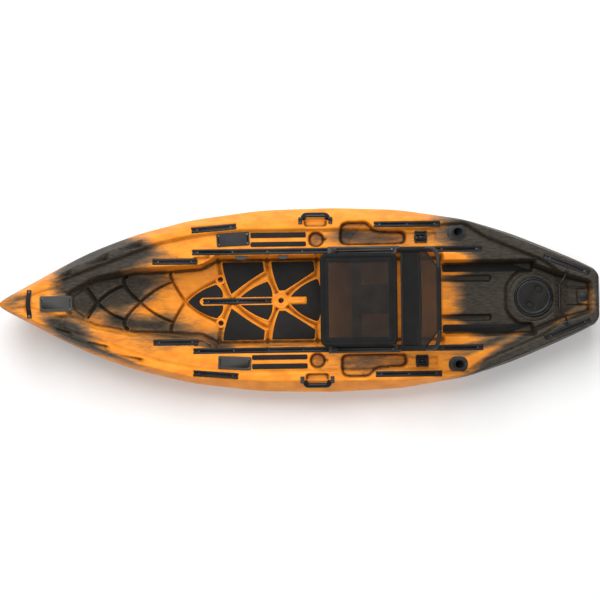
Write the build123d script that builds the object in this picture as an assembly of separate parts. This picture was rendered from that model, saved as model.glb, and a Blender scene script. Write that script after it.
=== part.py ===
from build123d import *
import math
import os

# Sit-on-top fishing kayak. Millimetres, +Z up, bow at -X, starboard at +Y.
# The origin is on the keel, below the middle of the overall length.

# ---- driving dimensions -------------------------------------------------
WALL = 4.0                # rotomoulded wall
SKY = 470.0               # height that every deck cut runs up to
LEDGE_Z = 262.0           # flat side decks beside the cockpit
GUNWALE_Z = 290.0         # gunwale top amidships
FLOOR_Z = 88.0            # cockpit floor
TANK_Z = 120.0            # tank-well floor
HATCH_Z = 150.0           # round ledge under the stern hatch
GAP = 0.3                 # clearance between separate pieces
DRAIN_SEAT_Z = 250.0      # floor of the stern bay at the drain plug
PAD = 4.0                 # thickness of the soft deck pads
PLATE_T = 6.0             # accessory plates
STRAP_T = 3.5             # bow strap
ROD_FLANGE = 4.0
CLIP_Z = LEDGE_Z - 10     # floor of the paddle-clip channel
CLIP_BASE = 6.0

BOW_RISE = 0.1544         # slope of the straight bow deck
BOW_DECK_X, BOW_DECK_Z = -1092.0, 338.0


def bow_deck(x):
    return BOW_DECK_Z + BOW_RISE * (BOW_DECK_X - x)


# Hull stations: (x, half beam, half width at gunwale edge, sheer height, keel height)
HULL_STATIONS = [
    (-1550, 14, 9, bow_deck(-1550), 245),
    (-1480, 62, 44, bow_deck(-1480), 140),
    (-1390, 110, 80, bow_deck(-1390), 78),
    (-1245, 192, 152, bow_deck(-1245), 32),
    (-1092, 270, 224, BOW_DECK_Z, 10),
    (-860, 358, 318, 310, 0),
    (-560, 430, 394, GUNWALE_Z, 0),
    (-200, 473, 417, GUNWALE_Z, 0),
    (157, 484, 421, GUNWALE_Z, 0),
    (520, 467, 422, GUNWALE_Z, 0),
    (860, 411, 402, GUNWALE_Z, 0),
    (1100, 341, 318, GUNWALE_Z, 2),
    (1330, 245, 224, 303, 18),
    (1480, 174, 158, 322, 42),
    (1550, 120, 108, 330, 66),
]
BEAM_LINE = 0.62          # height of the widest line, as a share of hull depth
KEEL_FLAT = 0.45          # half width of the flat bottom, as a share of the beam
CHINE_OUT = 0.90          # chine half width, as a share of the beam
CHINE_UP = 0.25           # chine height, as a share of the beam line height

# Side-deck recess inside the gunwales: (x, half width, floor height)
SIDE_DECK = [
    (-1215, 130, 330),
    (-965, 222, 296),
    (-735, 306, 272),
    (-560, 342, LEDGE_Z),
    (-430, 357, LEDGE_Z),
    (-300, 366, LEDGE_Z),
    (670, 366, LEDGE_Z),
    (745, 386, LEDGE_Z),
    (860, 388, LEDGE_Z),
    (915, 352, LEDGE_Z),
    (970, 316, LEDGE_Z),
    (1130, 250, LEDGE_Z),
    (1272, 190, LEDGE_Z),
    (1352, 126, LEDGE_Z),
    (1378, 118, LEDGE_Z),
    (1506, 76, LEDGE_Z),
]
# Foot well: (x, half width at top, half width at floor, floor height, top height)
FOOT_WELL = [
    (-1200, 62, 50, 304, 328),
    (-1065, 136, 112, 232, 309),
    (-865, 175, 150, 150, 286),
    (-680, 184, 158, FLOOR_Z, 268),
    (-520, 192, 170, FLOOR_Z, LEDGE_Z),
    (-430, 236, 214, FLOOR_Z, LEDGE_Z),
    (742, 236, 214, FLOOR_Z, LEDGE_Z),
]
# Tank well and the hatch bay behind it, in the same form
TANK_WELL = [
    (742, 192, 184, TANK_Z, LEDGE_Z),
    (1080, 192, 184, TANK_Z, LEDGE_Z),
]
HATCH_BAY = [
    (1080, 192, 184, HATCH_Z, LEDGE_Z),
    (1225, 172, 164, HATCH_Z, LEDGE_Z),
    (1332, 130, 120, HATCH_Z, LEDGE_Z),
]
STERN_BAY = [
    (1332, 130, 120, HATCH_Z, LEDGE_Z),
    (1400, 106, 96, 214, LEDGE_Z),
    (1500, 75, 68, DRAIN_SEAT_Z, LEDGE_Z),
]

# Gear tracks
TRACK_W = 30.0
TRACK_H = 13.0
TRACK_SLOT = 10.0         # mouth of the T-slot
TRACK_CAVITY_W = 20.0
TRACK_CAVITY_H = 6.0
TRACK_LIP = 3.0
SCREW_R = 2.4
SCREW_HEAD_R = 4.2
SCREW_HEAD_H = 2.6

# (name, end 1, end 2) of the top faces on the starboard side; port mirrors them
SIDE_TRACKS = [
    ("bow_inner_track", (-765, 210, 273.8), (-533, 210, 262.8)),
    ("bow_outer_track", (-559, 370, GUNWALE_Z), (-326, 389, GUNWALE_Z)),
    ("seat_track", (-559, 257, LEDGE_Z), (951, 257, LEDGE_Z)),
    ("rear_track", (388, 389, GUNWALE_Z), (733, 389, GUNWALE_Z)),
    ("stern_track", (1270, 213, 298.5), (1503, 121, 323.4)),
]
CENTRE_TRACK = ("centre_track", (-512, 0, FLOOR_Z), (-148, 0, FLOOR_Z))

SCUPPER_R = 13.5
SCUPPERS = [(-418, 115), (-418, -115), (-100, 0)]
HUB_R = 44.0
HUB_H = 8.0

WALL_FITTING_Z = 238.0
CUP_X, CUP_Y, CUP_R, CUP_DEPTH = 88.0, 315.0, 40.0, 45.0
POCKET_DEPTH = 62.0
ROD_X, ROD_Y, ROD_R, ROD_WALL = 819.0, 344.0, 22.0, 3.0
ROD_SCREWS = ((-36, 27), (-36, -27), (36, 0))
ROD_LEAN = 25.0           # degrees, mouth towards the stern
ROD_DEPTH = 170.0
HANDLE_X = 85.0           # side handles: middle, hinge line and eye spacing
HINGE_Y, HINGE_Z = 424.0, 298.0
EYE_X = 57.0
MOUNT_X = 78.0
HINGE_PIN_R = 3.5
POCKET_LONG = (382, 321, 342, 72, 34)    # centre, length, width and corner radius
POCKET_WIDE = (281, 345, 140, 120, 38)
CLIP_X, CLIP_Y = 632.0, 323.0
CLIP_CHANNEL = (552, 712, 302, 344)      # x range and y range
SIDE_PLATE_AT = (-344, 322)
SIDE_PLATE_TURN = 2.8     # degrees
STRIP_X, STRIP_LENGTH = -109.5, 289.0
STRIPS = ((341, 27), (294, 25))          # distance off centre and width
BOW_STRAP_X = -1398.0
BOW_STRAP_SCREW_Y = 63.0
BOW_PLATE_X = -1262.0
BOW_PLATE = (165, 80)      # length and width of the accessory plates
SIDE_PLATE = (172, 70)
HANDLE_DROP = 40.0        # degrees below level that a side handle hangs
STERN_HANDLE_X = 1380.0
BAIL_MOUNT_Y = 136.0
BAIL_END_Y = 146.0
BAIL_R = 5.5
BAIL_Z = 10.0             # stern handle's hinge line above the deck
HATCH_X, HATCH_R, HATCH_BORE = 1225.0, 103.0, 78.0
DRAIN_X, DRAIN_R = 1476.0, 11.0
HATCH_SCREW_R = 96.0      # pitch radius of the hatch ring's screws
HATCH_RING_T = 7.0
GASKET_T = 2.0
LID_R = 90.0
LID_T = 7.0
LID_GRIPS = ((26, 42), (-20, -41))       # finger wells, from the lid's middle
COLLAR_T = 4.0            # drain collar above its seat
WASHER_T = 2.0
SMALL_SCREW_R = 2.2

# Soft floor pads between the moulded grooves. Each outline is walked round its corners;
# a corner with a second point has a curved edge that passes through that point.
CENTRE_PADS = [
    [((-590, 0), (-526, 52)), ((-441, 90),), ((-408, 0),), ((-441, -90), (-526, -52))],
    [((-315, 21), (-246, 70)), ((-170, 103),), ((-144, 21),)],
    [((-315, -21),), ((-144, -21),), ((-170, -103), (-246, -70))],
    [((-56, 15), (8, 73)), ((90, 112), (118, 0)), ((90, -112), (8, -73)), ((-56, -15),)],
]
SIDE_PADS = [
    [((-408, 206),), ((-193, 206),), ((-184, 148), (-273, 103)), ((-361, 32), (-396, 134))],
    [((-149, 206),), ((74, 206),), ((79, 150), (8, 108)), ((-79, 52),), ((-112, 52), (-139, 123))],
]
BACK_BAR = 20.0           # cross bar of the backrest, from the hinge line to its lower edge
LUMBAR_FOOT = 34.0        # top of that bar, where the lumbar panel starts
LUMBAR_TOP = 200.0        # lumbar panel's top, along the backrest

# Seat
SEAT_X0, SEAT_X1 = 106.0, 503.0   # base frame, front and rear
SEAT_HALF = 240.0
BACK_HALF = 264.0                  # half width of the backrest, outside the seat base
TUBE = 22.0                        # frame tube, across
SEAT_TOP = 345.0
BRACKET_X0, BRACKET_X1 = 146.0, 519.0
BRACKET_Z = LEDGE_Z + GAP
TRACK_Y = 257.0
KNOB_X, BOLT_X = 181.0, 481.0
PIVOT_X, PIVOT_Z = 515.0, 372.0    # backrest hinge
PIN_R = 5.0
EAR_R = 13.0
FIT = 0.05                         # radial clearance of a running fit
BACK_LEAN = 25.0
BACK_TOP = 441.0                   # backrest height above the hinge, along the frame

os.makedirs("parts", exist_ok=True)


# ---- helpers ------------------------------------------------------------
def ring(points):
    return Wire.make_polygon([Vector(*p) for p in points], close=True)


def loft_rings(rings):
    return Solid.make_loft([ring(r) for r in rings], ruled=True)


def box(x0, x1, y0, y1, z0, z1):
    size = Box(x1 - x0, y1 - y0, z1 - z0)
    return Pos((x0 + x1) / 2, (y0 + y1) / 2, (z0 + z1) / 2) * size


def rod(x, y, z0, z1, radius):
    return Pos(x, y, (z0 + z1) / 2) * Cylinder(radius, z1 - z0)


def sheer_at(x):
    """Height of the gunwale top at x, along the straight runs between stations."""
    for front, back in zip(HULL_STATIONS, HULL_STATIONS[1:]):
        if front[0] <= x <= back[0]:
            share = (x - front[0]) / (back[0] - front[0])
            return front[3] + share * (back[3] - front[3])
    return GUNWALE_Z


def mirror_y(shape):
    return mirror(shape, about=Plane.XZ)


def side_name(side, name):
    return ("starboard_" if side > 0 else "port_") + name


def save(shape, node):
    if isinstance(shape, (list, tuple)):
        shape = Compound(children=[piece for one in shape for piece in one.solids()])
    export_step(shape, "parts/" + node + ".step")


# ---- hull ---------------------------------------------------------------
def hull_ring(x, beam, crease, sheer, keel):
    depth = sheer - keel
    beam_z = keel + BEAM_LINE * depth
    half = [
        (KEEL_FLAT * beam, keel),
        (CHINE_OUT * beam, keel + CHINE_UP * (beam_z - keel)),
        (beam, beam_z),
        (crease, sheer),
    ]
    right = [(x, y, z) for y, z in half]
    left = [(x, -y, z) for y, z in reversed(half)]
    return right + left


def outer_form():
    return loft_rings([hull_ring(*s) for s in HULL_STATIONS])


def cavity_form():
    rings = []
    for x, beam, crease, sheer, keel in HULL_STATIONS[1:]:
        inner_x = min(x, HULL_STATIONS[-1][0] - WALL)
        rings.append(hull_ring(inner_x, beam - WALL, crease - WALL - 2, sheer - WALL, keel + WALL))
    return loft_rings(rings)


def side_deck_cut(grow=0.0):
    rings = []
    for i, (x, half, floor) in enumerate(SIDE_DECK):
        shift = -grow if i == 0 else grow if i == len(SIDE_DECK) - 1 else 0
        w = half + grow
        z = floor - grow
        rings.append([(x + shift, w, z), (x + shift, w + 5, SKY),
                      (x + shift, -w - 5, SKY), (x + shift, -w, z)])
    cut = loft_rings(rings)
    # the bow deck runs aft as a tongue between the two front corners of the recess
    return cut - box(-1300, -1152 - grow, -62 + grow, 62 - grow, 200, SKY + 10)


def trough(stations, grow=0.0):
    rings = []
    for i, (x, top, bottom, floor, rim) in enumerate(stations):
        shift = -grow if i == 0 else grow if i == len(stations) - 1 else 0
        rings.append([
            (x + shift, bottom + grow, floor - grow), (x + shift, top + grow, rim),
            (x + shift, top + grow, SKY), (x + shift, -top - grow, SKY),
            (x + shift, -top - grow, rim), (x + shift, -bottom - grow, floor - grow),
        ])
    return loft_rings(rings)


def pocket_outline(grow=0.0):
    parts = []
    for x, y, length, width, corner in (POCKET_LONG, POCKET_WIDE):
        outline = RectangleRounded(length + 2 * grow, width + 2 * grow, corner + grow)
        parts.append(Pos(x, y) * outline)
    return parts[0] + parts[1]


def pocket_cut(grow=0.0):
    height = POCKET_DEPTH + grow + 60
    return Pos(0, 0, LEDGE_Z - POCKET_DEPTH - grow) * extrude(pocket_outline(grow), height)


def clip_channel(grow=0.0):
    x0, x1, y0, y1 = CLIP_CHANNEL
    return box(x0 - grow, x1 + grow, y0 - grow, y1 + grow, CLIP_Z - grow, LEDGE_Z + 20)


def finger_scoop(grow=0.0):
    """Hand room behind the side handle, open through the gunwale edge."""
    body = Pos(HANDLE_X, 430) * RectangleRounded(118 + 2 * grow, 96 + 2 * grow, 18 + grow)
    return Pos(0, 0, GUNWALE_Z - 34 - grow) * extrude(body, 70 + grow)


def side_channel(grow=0.0):
    """Tapered channel beside the round ledge, for the end of the tank-well strip."""
    y_in = 136 - grow
    outline = Polyline((1060, y_in), (1060, 185 + grow), (1216 + grow, 168 + grow),
                       (1216 + grow, y_in), close=True)
    return Pos(0, 0, TANK_Z - grow) * extrude(make_face(outline), 60)


def track_frame(end_1, end_2):
    """Location at the middle of a track's top face with X along it, and its length."""
    run = Vector(*end_2) - Vector(*end_1)
    middle = (Vector(*end_1) + Vector(*end_2)) * 0.5
    across = Vector(0, 0, 1).cross(run)
    return Plane(origin=middle, x_dir=run, z_dir=run.cross(across)).location, run.length


def track_slot(end_1, end_2, grow=0.0):
    place, length = track_frame(end_1, end_2)
    width = TRACK_W + 2 * GAP + 2 * grow
    depth = TRACK_H + grow
    height = depth + 30
    return place * Pos(0, 0, -depth + height / 2) * Box(length + 2 * GAP + 2 * grow, width, height)


def screw_places(length):
    count = max(2, round(length / 200) + 1)
    step = (length - 60) / (count - 1)
    return [-length / 2 + 30 + i * step for i in range(count)]


def gear_track(end_1, end_2):
    place, length = track_frame(end_1, end_2)
    body = Pos(0, 0, -TRACK_H / 2) * Box(length, TRACK_W, TRACK_H)
    body -= Box(length + 2, TRACK_SLOT, 2 * TRACK_LIP)
    cavity_z = -TRACK_LIP - TRACK_CAVITY_H / 2
    body -= Pos(0, 0, cavity_z) * Box(length + 2, TRACK_CAVITY_W, TRACK_CAVITY_H)
    for x in screw_places(length):
        body -= Pos(x, 0, -TRACK_H) * Cylinder(SCREW_R, 12)
    return place * body


def track_screws(end_1, end_2):
    place, length = track_frame(end_1, end_2)
    seat = -TRACK_LIP - TRACK_CAVITY_H
    out = []
    for x in screw_places(length):
        head = Pos(x, 0, seat + SCREW_HEAD_H / 2) * Cylinder(SCREW_HEAD_R, SCREW_HEAD_H)
        shank = Pos(x, 0, seat - 4.5) * Cylinder(SCREW_R, 9)
        out.append(place * (head + shank))
    return out


def track_screw_holes(end_1, end_2):
    place, length = track_frame(end_1, end_2)
    return [place * Pos(x, 0, -TRACK_H - 2.5) * Cylinder(SCREW_R, 8) for x in screw_places(length)]


def all_tracks():
    """Every track as (node name, end 1, end 2)."""
    out = [CENTRE_TRACK]
    for name, (x_1, y_1, z_1), (x_2, y_2, z_2) in SIDE_TRACKS:
        for side in (1, -1):
            ends = (x_1, side * y_1, z_1), (x_2, side * y_2, z_2)
            out.append((side_name(side, name), *ends))
    return out


def both(shape):
    return [shape, mirror_y(shape)]


def cut_each(body, tools):
    for tool in tools:
        body = body - tool
    return body


def rod_frame(side):
    return Pos(ROD_X, side * ROD_Y, LEDGE_Z) * Rot(0, ROD_LEAN, 0)


def bow_frame(x):
    """Location on the sloping bow deck, X pointing aft down the slope."""
    return Pos(x, 0, bow_deck(x)) * Rot(0, math.degrees(math.atan(BOW_RISE)), 0)


def stern_frame():
    """Location on the rising stern deck at the carry handle's hinge line."""
    slope = math.degrees(math.atan2(sheer_at(1480) - sheer_at(1330), 150))
    return Pos(STERN_HANDLE_X, 0, sheer_at(STERN_HANDLE_X)) * Rot(0, -slope, 0)


def plate_frame(side):
    x, y = SIDE_PLATE_AT
    return Pos(x, side * y, LEDGE_Z) * Rot(0, 0, side * SIDE_PLATE_TURN)


def handle_frame(side):
    """Hinge line of a side handle, local Y pointing outboard and down the flank."""
    turn = Rot(-HANDLE_DROP, 0, 0) if side > 0 else Rot(0, 0, 180) * Rot(-HANDLE_DROP, 0, 0)
    return Pos(HANDLE_X, side * HINGE_Y, HINGE_Z) * turn


def fastener(place, head_r, head_h, shank_r, length):
    """Pan-head screw: head standing on the local XY plane, shank below it."""
    head = Pos(0, 0, head_h / 2) * Cylinder(head_r, head_h)
    shank = Pos(0, 0, -length / 2) * Cylinder(shank_r, length)
    return place * (head + shank)


def plate_screw_places(length, width):
    return [(sx * (length / 2 - 12), sy * (width / 2 - 12)) for sx in (1, -1) for sy in (1, -1)]


def hatch_screw_places():
    for i in range(6):
        angle = math.radians(30 + 60 * i)
        yield HATCH_X + HATCH_SCREW_R * math.cos(angle), HATCH_SCREW_R * math.sin(angle)


def screw_list():
    """Every deck screw: (node, seat location, head radius, head height, shank radius, length)."""
    out = []
    for y in (BOW_STRAP_SCREW_Y, -BOW_STRAP_SCREW_Y):
        out.append(("bow_handle_screws", bow_frame(BOW_STRAP_X) * Pos(0, y, STRAP_T), 7, 3, 3, STRAP_T + 4))
        for x in (-10, 10):
            place = stern_frame() * Pos(x, math.copysign(BAIL_MOUNT_Y, y), 3)
            out.append(("stern_handle_screws", place, 3.4, 2, 2, 7))
    for x, y in plate_screw_places(*BOW_PLATE):
        out.append(("plate_screws", bow_frame(BOW_PLATE_X) * Pos(x, y, PLATE_T), 5, 2.5, 2.5, PLATE_T + 4))
    for side in (1, -1):
        for x, y in plate_screw_places(*SIDE_PLATE):
            out.append(("plate_screws", plate_frame(side) * Pos(x, y, PLATE_T), 5, 2.5, 2.5,
                        PLATE_T + 4))
        for x in (-MOUNT_X, MOUNT_X):
            place = Pos(HANDLE_X + x, side * 405, 296)
            out.append(("side_handle_screws", place, 4, 2, SMALL_SCREW_R, 10))
        for x, y in ROD_SCREWS:
            place = Pos(ROD_X + x, side * ROD_Y + y, LEDGE_Z + ROD_FLANGE)
            out.append(("rod_holder_screws", place, 4, 2, SMALL_SCREW_R, ROD_FLANGE + 4))
        place = Pos(CLIP_X, side * CLIP_Y, CLIP_Z + CLIP_BASE + 1)
        out.append(("paddle_clip_screws", place, 5, 2.5, 2.5, 11))
    for x, y in hatch_screw_places():
        place = Pos(x, y, HATCH_Z + HATCH_RING_T)
        out.append(("hatch_ring_screws", place, 4, 2, SMALL_SCREW_R, 11))
    return out


def build_hull():
    hull = outer_form()
    cavity = cavity_form()
    hull -= side_deck_cut()
    cavity -= side_deck_cut(WALL)
    for stations in (FOOT_WELL, TANK_WELL, HATCH_BAY, STERN_BAY):
        hull -= trough(stations)
        cavity -= trough(stations, WALL)
    for make in (side_channel, pocket_cut, clip_channel, finger_scoop):
        hull = cut_each(hull, both(make()))
        cavity = cut_each(cavity, both(make(WALL)))
    hull = cut_each(hull, both(rod(CUP_X, CUP_Y, LEDGE_Z - CUP_DEPTH, SKY, CUP_R)))
    cavity = cut_each(cavity, both(rod(CUP_X, CUP_Y, LEDGE_Z - CUP_DEPTH - WALL, SKY, CUP_R + WALL)))
    for _, end_1, end_2 in all_tracks():
        hull -= track_slot(end_1, end_2)
        cavity -= track_slot(end_1, end_2, WALL)
    hull += box(DRAIN_X - 28, 1504, -30, 30, DRAIN_SEAT_Z - 20, DRAIN_SEAT_Z)
    for x, y in SCUPPERS:
        cavity -= rod(x, y, -5, FLOOR_Z + 5, SCUPPER_R + WALL)
    hull += rod(SCUPPERS[2][0], 0, FLOOR_Z - 1, FLOOR_Z + HUB_H, HUB_R)
    hull += box(-64, 29, -17, 17, FLOOR_Z - 1, FLOOR_Z + 10)
    hull -= cavity
    bores = [rod(x, y, -10, SKY, SCUPPER_R) for x, y in SCUPPERS]
    bores.append(rod(HATCH_X, 0, HATCH_Z - 20, HATCH_Z + 5, HATCH_BORE + 6 + GAP))
    bores.append(rod(DRAIN_X, 0, DRAIN_SEAT_Z - 40, DRAIN_SEAT_Z + 5, DRAIN_R + 3 + GAP))
    for side in (1, -1):
        bores.append(rod_frame(side) * Pos(0, 0, -10) * Cylinder(ROD_R + ROD_WALL + GAP, 60))
    for _, end_1, end_2 in all_tracks():
        bores += track_screw_holes(end_1, end_2)
    for _, place, _, _, shank_r, length in screw_list():
        bores.append(place * Pos(0, 0, -length / 2 - 2) * Cylinder(shank_r, length + 4))
    return cut_each(hull, bores)


# ---- handles ------------------------------------------------------------
def arch_strap():
    t = STRAP_T
    lower = [(-74, 0), (-52, 0), (-38, 20), (38, 20), (52, 0), (74, 0)]
    upper = [(74, t), (54, t), (40, 20 + t), (-40, 20 + t), (-54, t), (-74, t)]
    outline = Polyline(*[(0, y, z) for y, z in lower + upper], close=True)
    strap = extrude(make_face(outline), amount=12, both=True)
    for y in (BOW_STRAP_SCREW_Y, -BOW_STRAP_SCREW_Y):
        strap -= Pos(0, y, 0) * Cylinder(3, 20)
    return bow_frame(BOW_STRAP_X) * strap


def stern_bail():
    """Moulded bail: a middle grip and two end stubs on the hinge line."""
    end = BAIL_END_Y
    points = [(0, end), (0, 106), (-34, 70), (-34, -70), (0, -106), (0, -end)]
    path = FilletPolyline(*[(x, y, BAIL_Z) for x, y in points], radius=14)
    section = Plane(path @ 0, z_dir=path % 0) * Circle(BAIL_R)
    return stern_frame() * sweep(section, path=path)


def bail_mounts():
    out = []
    for y in (BAIL_MOUNT_Y, -BAIL_MOUNT_Y):
        block = Pos(0, y, 1.5) * Box(30, 17, 3) + Pos(0, y, 8.5) * Box(13, 17, 17)
        block -= Pos(0, y, BAIL_Z) * Rot(90, 0, 0) * Cylinder(BAIL_R + FIT, 40)
        for x in (-10, 10):
            block -= Pos(x, y, 0) * Cylinder(2, 20)
        out.append(stern_frame() * block)
    return out


def side_handle(side):
    grip = Pos(0, 24, 0) * Box(130, 20, 14)
    grip = fillet(grip.edges().filter_by(Axis.X), 5)
    arms = [Pos(x, 9, 0) * Box(16, 18, 10) for x in (-EYE_X, EYE_X)]
    eyes = [Pos(x, 0, 0) * Rot(0, 90, 0) * Cylinder(8, 16) for x in (-EYE_X, EYE_X)]
    handle = grip + arms + eyes
    handle -= Rot(0, 90, 0) * Cylinder(HINGE_PIN_R + FIT, 200)
    return handle_frame(side) * handle


def side_handle_mount(side):
    out = []
    for end in (-1, 1):
        x = HANDLE_X + end * MOUNT_X
        post = box(x - 10, x + 10, 396, 419, GUNWALE_Z, 296)
        post += Pos(x, HINGE_Y, HINGE_Z) * Rot(0, 90, 0) * Cylinder(8, 20)
        pin = Pos(HANDLE_X + end * 66, HINGE_Y, HINGE_Z) * Rot(0, 90, 0)
        post += pin * Cylinder(HINGE_PIN_R, 36)
        post -= rod(x, 405, GUNWALE_Z - 1, 300, SMALL_SCREW_R)
        out.append(post if side > 0 else mirror_y(post))
    return out


# ---- plates, pads, clips, rod holders -----------------------------------
def accessory_plate(place, length, width):
    plate = extrude(RectangleRounded(length, width, 9), PLATE_T)
    for x, y in plate_screw_places(length, width):
        plate -= Pos(x, y, 0) * Cylinder(2.5, 30)
    return place * plate


def pad(points, z):
    return Pos(0, 0, z) * extrude(make_face(Polyline(*points, close=True)), PAD)


def curved_outline(corners, side=1):
    """Closed outline from corners that may each carry a through point of the next edge."""
    edges = []
    for corner, following in zip(corners, corners[1:] + corners[:1]):
        points = [(x, side * y) for x, y in (*corner, following[0])]
        edges.append(ThreePointArc(*points) if len(points) == 3 else Line(*points))
    return make_face(edges)


def centre_pads():
    """Pads down the middle of the floor, beside the centre track and round the hub."""
    tools = [track_slot(*CENTRE_TRACK[1:], 5), box(-70, 35, -22, 22, 0, 200)]
    tools.append(rod(SCUPPERS[2][0], 0, 0, 200, HUB_R + 6))
    pads = [Pos(0, 0, FLOOR_Z) * extrude(curved_outline(one), PAD) for one in CENTRE_PADS]
    return [cut_each(one, tools) for one in pads]


def side_pads(side):
    return [Pos(0, 0, FLOOR_Z) * extrude(curved_outline(one, side), PAD) for one in SIDE_PADS]


def deck_strips(side):
    out = []
    for y, width in STRIPS:
        strip = extrude(RectangleRounded(STRIP_LENGTH, width, 8), PAD)
        out.append(Pos(STRIP_X, side * y, LEDGE_Z) * strip)
    return out


def tank_strip(side):
    points = [(752, 148), (752, 182), (1206, 164), (1206, 140)]
    return pad([(x, side * y) for x, y in points], TANK_Z)


def rod_holder(side):
    axis = rod_frame(side)
    flange = Pos(ROD_X, side * ROD_Y, LEDGE_Z) * extrude(RectangleRounded(100, 82, 38), ROD_FLANGE)
    outer = ROD_R + ROD_WALL
    holder = flange + axis * Pos(0, 0, 20 - ROD_DEPTH / 2) * Cylinder(outer, ROD_DEPTH)
    collar = Pos(0, 0, 14) * Cylinder(outer, 40)
    holder = holder + axis * collar
    holder -= box(ROD_X - 90, ROD_X + 90, side * ROD_Y - 60, side * ROD_Y + 60, 280, 340)
    holder -= axis * Pos(0, 0, 30 - ROD_DEPTH / 2) * Cylinder(ROD_R, ROD_DEPTH - 2 * ROD_WALL + 20)
    for x, y in ROD_SCREWS:
        holder -= rod(ROD_X + x, side * ROD_Y + y, 200, 300, SMALL_SCREW_R)
    return holder


def paddle_clip(side):
    seat = CLIP_Z + CLIP_BASE
    base = box(CLIP_X - 34, CLIP_X + 34, CLIP_Y - 20, CLIP_Y + 20, CLIP_Z, seat)
    jaws = Pos(CLIP_X, CLIP_Y, seat + 15) * Rot(0, 90, 0) * Cylinder(19, 50)
    jaws -= box(CLIP_X - 45, CLIP_X + 45, CLIP_Y - 35, CLIP_Y + 35, CLIP_Z - 30, CLIP_Z)
    clip = base + jaws
    clip -= Pos(CLIP_X, CLIP_Y, seat + 17) * Rot(0, 90, 0) * Cylinder(15, 90)
    clip -= box(CLIP_X - 45, CLIP_X + 45, CLIP_Y - 10, CLIP_Y + 10, CLIP_Z + 24, CLIP_Z + 70)
    clip -= rod(CLIP_X, CLIP_Y, 200, seat + 4, 2.5)
    clip -= rod(CLIP_X, CLIP_Y, seat + 1, CLIP_Z + 20, 5.2)
    return clip if side > 0 else mirror_y(clip)


def wall_fitting(x, length):
    """Half-round fitting on the sloping starboard wall of the foot well."""
    _, top, bottom, floor, rim = FOOT_WELL[-1]
    lean = -math.degrees(math.atan2(top - bottom, rim - floor))
    y = bottom + (top - bottom) * (WALL_FITTING_Z - floor) / (rim - floor)
    outline = RectangleRounded(length, 34, 16.9)
    body = extrude(outline, 7, both=True) - Pos(0, 25, 0) * Box(100, 50, 60)
    return Pos(x, y, WALL_FITTING_Z) * Rot(lean, 0, 0) * body


# ---- hatch and drain ----------------------------------------------------
def hatch_ring():
    body = rod(HATCH_X, 0, HATCH_Z, HATCH_Z + HATCH_RING_T, HATCH_R)
    body += rod(HATCH_X, 0, HATCH_Z - 28, HATCH_Z, HATCH_BORE + 6)
    body -= rod(HATCH_X, 0, 0, 300, HATCH_BORE)
    for x, y in hatch_screw_places():
        body -= rod(x, y, HATCH_Z - 2, HATCH_Z + 20, SMALL_SCREW_R)
    return body


def hatch_gasket():
    ring_z = HATCH_Z + HATCH_RING_T
    return rod(HATCH_X, 0, ring_z, ring_z + GASKET_T, 88) - rod(HATCH_X, 0, 0, 300, 80)


def hatch_lid():
    rim_z = HATCH_Z + HATCH_RING_T + GASKET_T
    body = rod(HATCH_X, 0, rim_z, rim_z + LID_T, LID_R)
    body += rod(HATCH_X, 0, HATCH_Z - 12, rim_z, HATCH_BORE - GAP)
    body -= rod(HATCH_X, 0, 0, HATCH_Z, HATCH_BORE - 7)
    for x, y in LID_GRIPS:
        turn = math.degrees(math.atan2(y, x))
        well = extrude(RectangleRounded(34, 44, 14), 20)
        body -= Pos(HATCH_X + x, y, rim_z - 3) * Rot(0, 0, turn) * well
    return body


def drain_collar():
    body = rod(DRAIN_X, 0, DRAIN_SEAT_Z, DRAIN_SEAT_Z + COLLAR_T, 24)
    body += rod(DRAIN_X, 0, DRAIN_SEAT_Z - 16, DRAIN_SEAT_Z, DRAIN_R + 3)
    return body - rod(DRAIN_X, 0, 200, 400, DRAIN_R)


def drain_washer():
    seat = DRAIN_SEAT_Z + COLLAR_T
    return rod(DRAIN_X, 0, seat, seat + WASHER_T, 16) - rod(DRAIN_X, 0, 200, 400, DRAIN_R + 0.5)


def drain_plug():
    seat = DRAIN_SEAT_Z + COLLAR_T + WASHER_T
    body = rod(DRAIN_X, 0, seat, seat + 4, 18)
    body += rod(DRAIN_X, 0, DRAIN_SEAT_Z - 14, seat, DRAIN_R - FIT)
    return body + box(DRAIN_X - 15, DRAIN_X + 15, -4, 4, seat + 3, seat + 11)


# ---- seat ---------------------------------------------------------------
def seat_frame():
    length = SEAT_X1 - SEAT_X0
    outer = RectangleRounded(length, 2 * SEAT_HALF, 40)
    inner = RectangleRounded(length - 2 * TUBE, 2 * SEAT_HALF - 2 * TUBE, 18)
    loop = extrude(outer - inner, TUBE)
    frame = Pos((SEAT_X0 + SEAT_X1) / 2, 0, SEAT_TOP - TUBE) * loop
    for side in (1, -1):
        ear = box(472, PIVOT_X + EAR_R, 234, 240.5, SEAT_TOP - TUBE, SEAT_TOP)
        ear += box(PIVOT_X - EAR_R, PIVOT_X + EAR_R, 234, 240.5, SEAT_TOP - 1, PIVOT_Z)
        ear += Pos(PIVOT_X, 237.25, PIVOT_Z) * Rot(90, 0, 0) * Cylinder(EAR_R, 6.5)
        frame += ear if side > 0 else mirror_y(ear)
    return frame - Pos(PIVOT_X, 0, PIVOT_Z) * Rot(90, 0, 0) * Cylinder(PIN_R, 600)


def seat_pan():
    length = SEAT_X1 - SEAT_X0 - 2 * TUBE
    outline = RectangleRounded(length, 2 * (SEAT_HALF - TUBE), 18)
    return Pos((SEAT_X0 + SEAT_X1) / 2, 0, SEAT_TOP - 12) * extrude(outline, 6)


def seat_webbing():
    half = SEAT_HALF - TUBE
    z = SEAT_TOP - TUBE + 3
    cross = box(269, 319, -half, half, z, z + 3)
    return cross + box(318, 436, -80, 80, z, z + 3)


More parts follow.
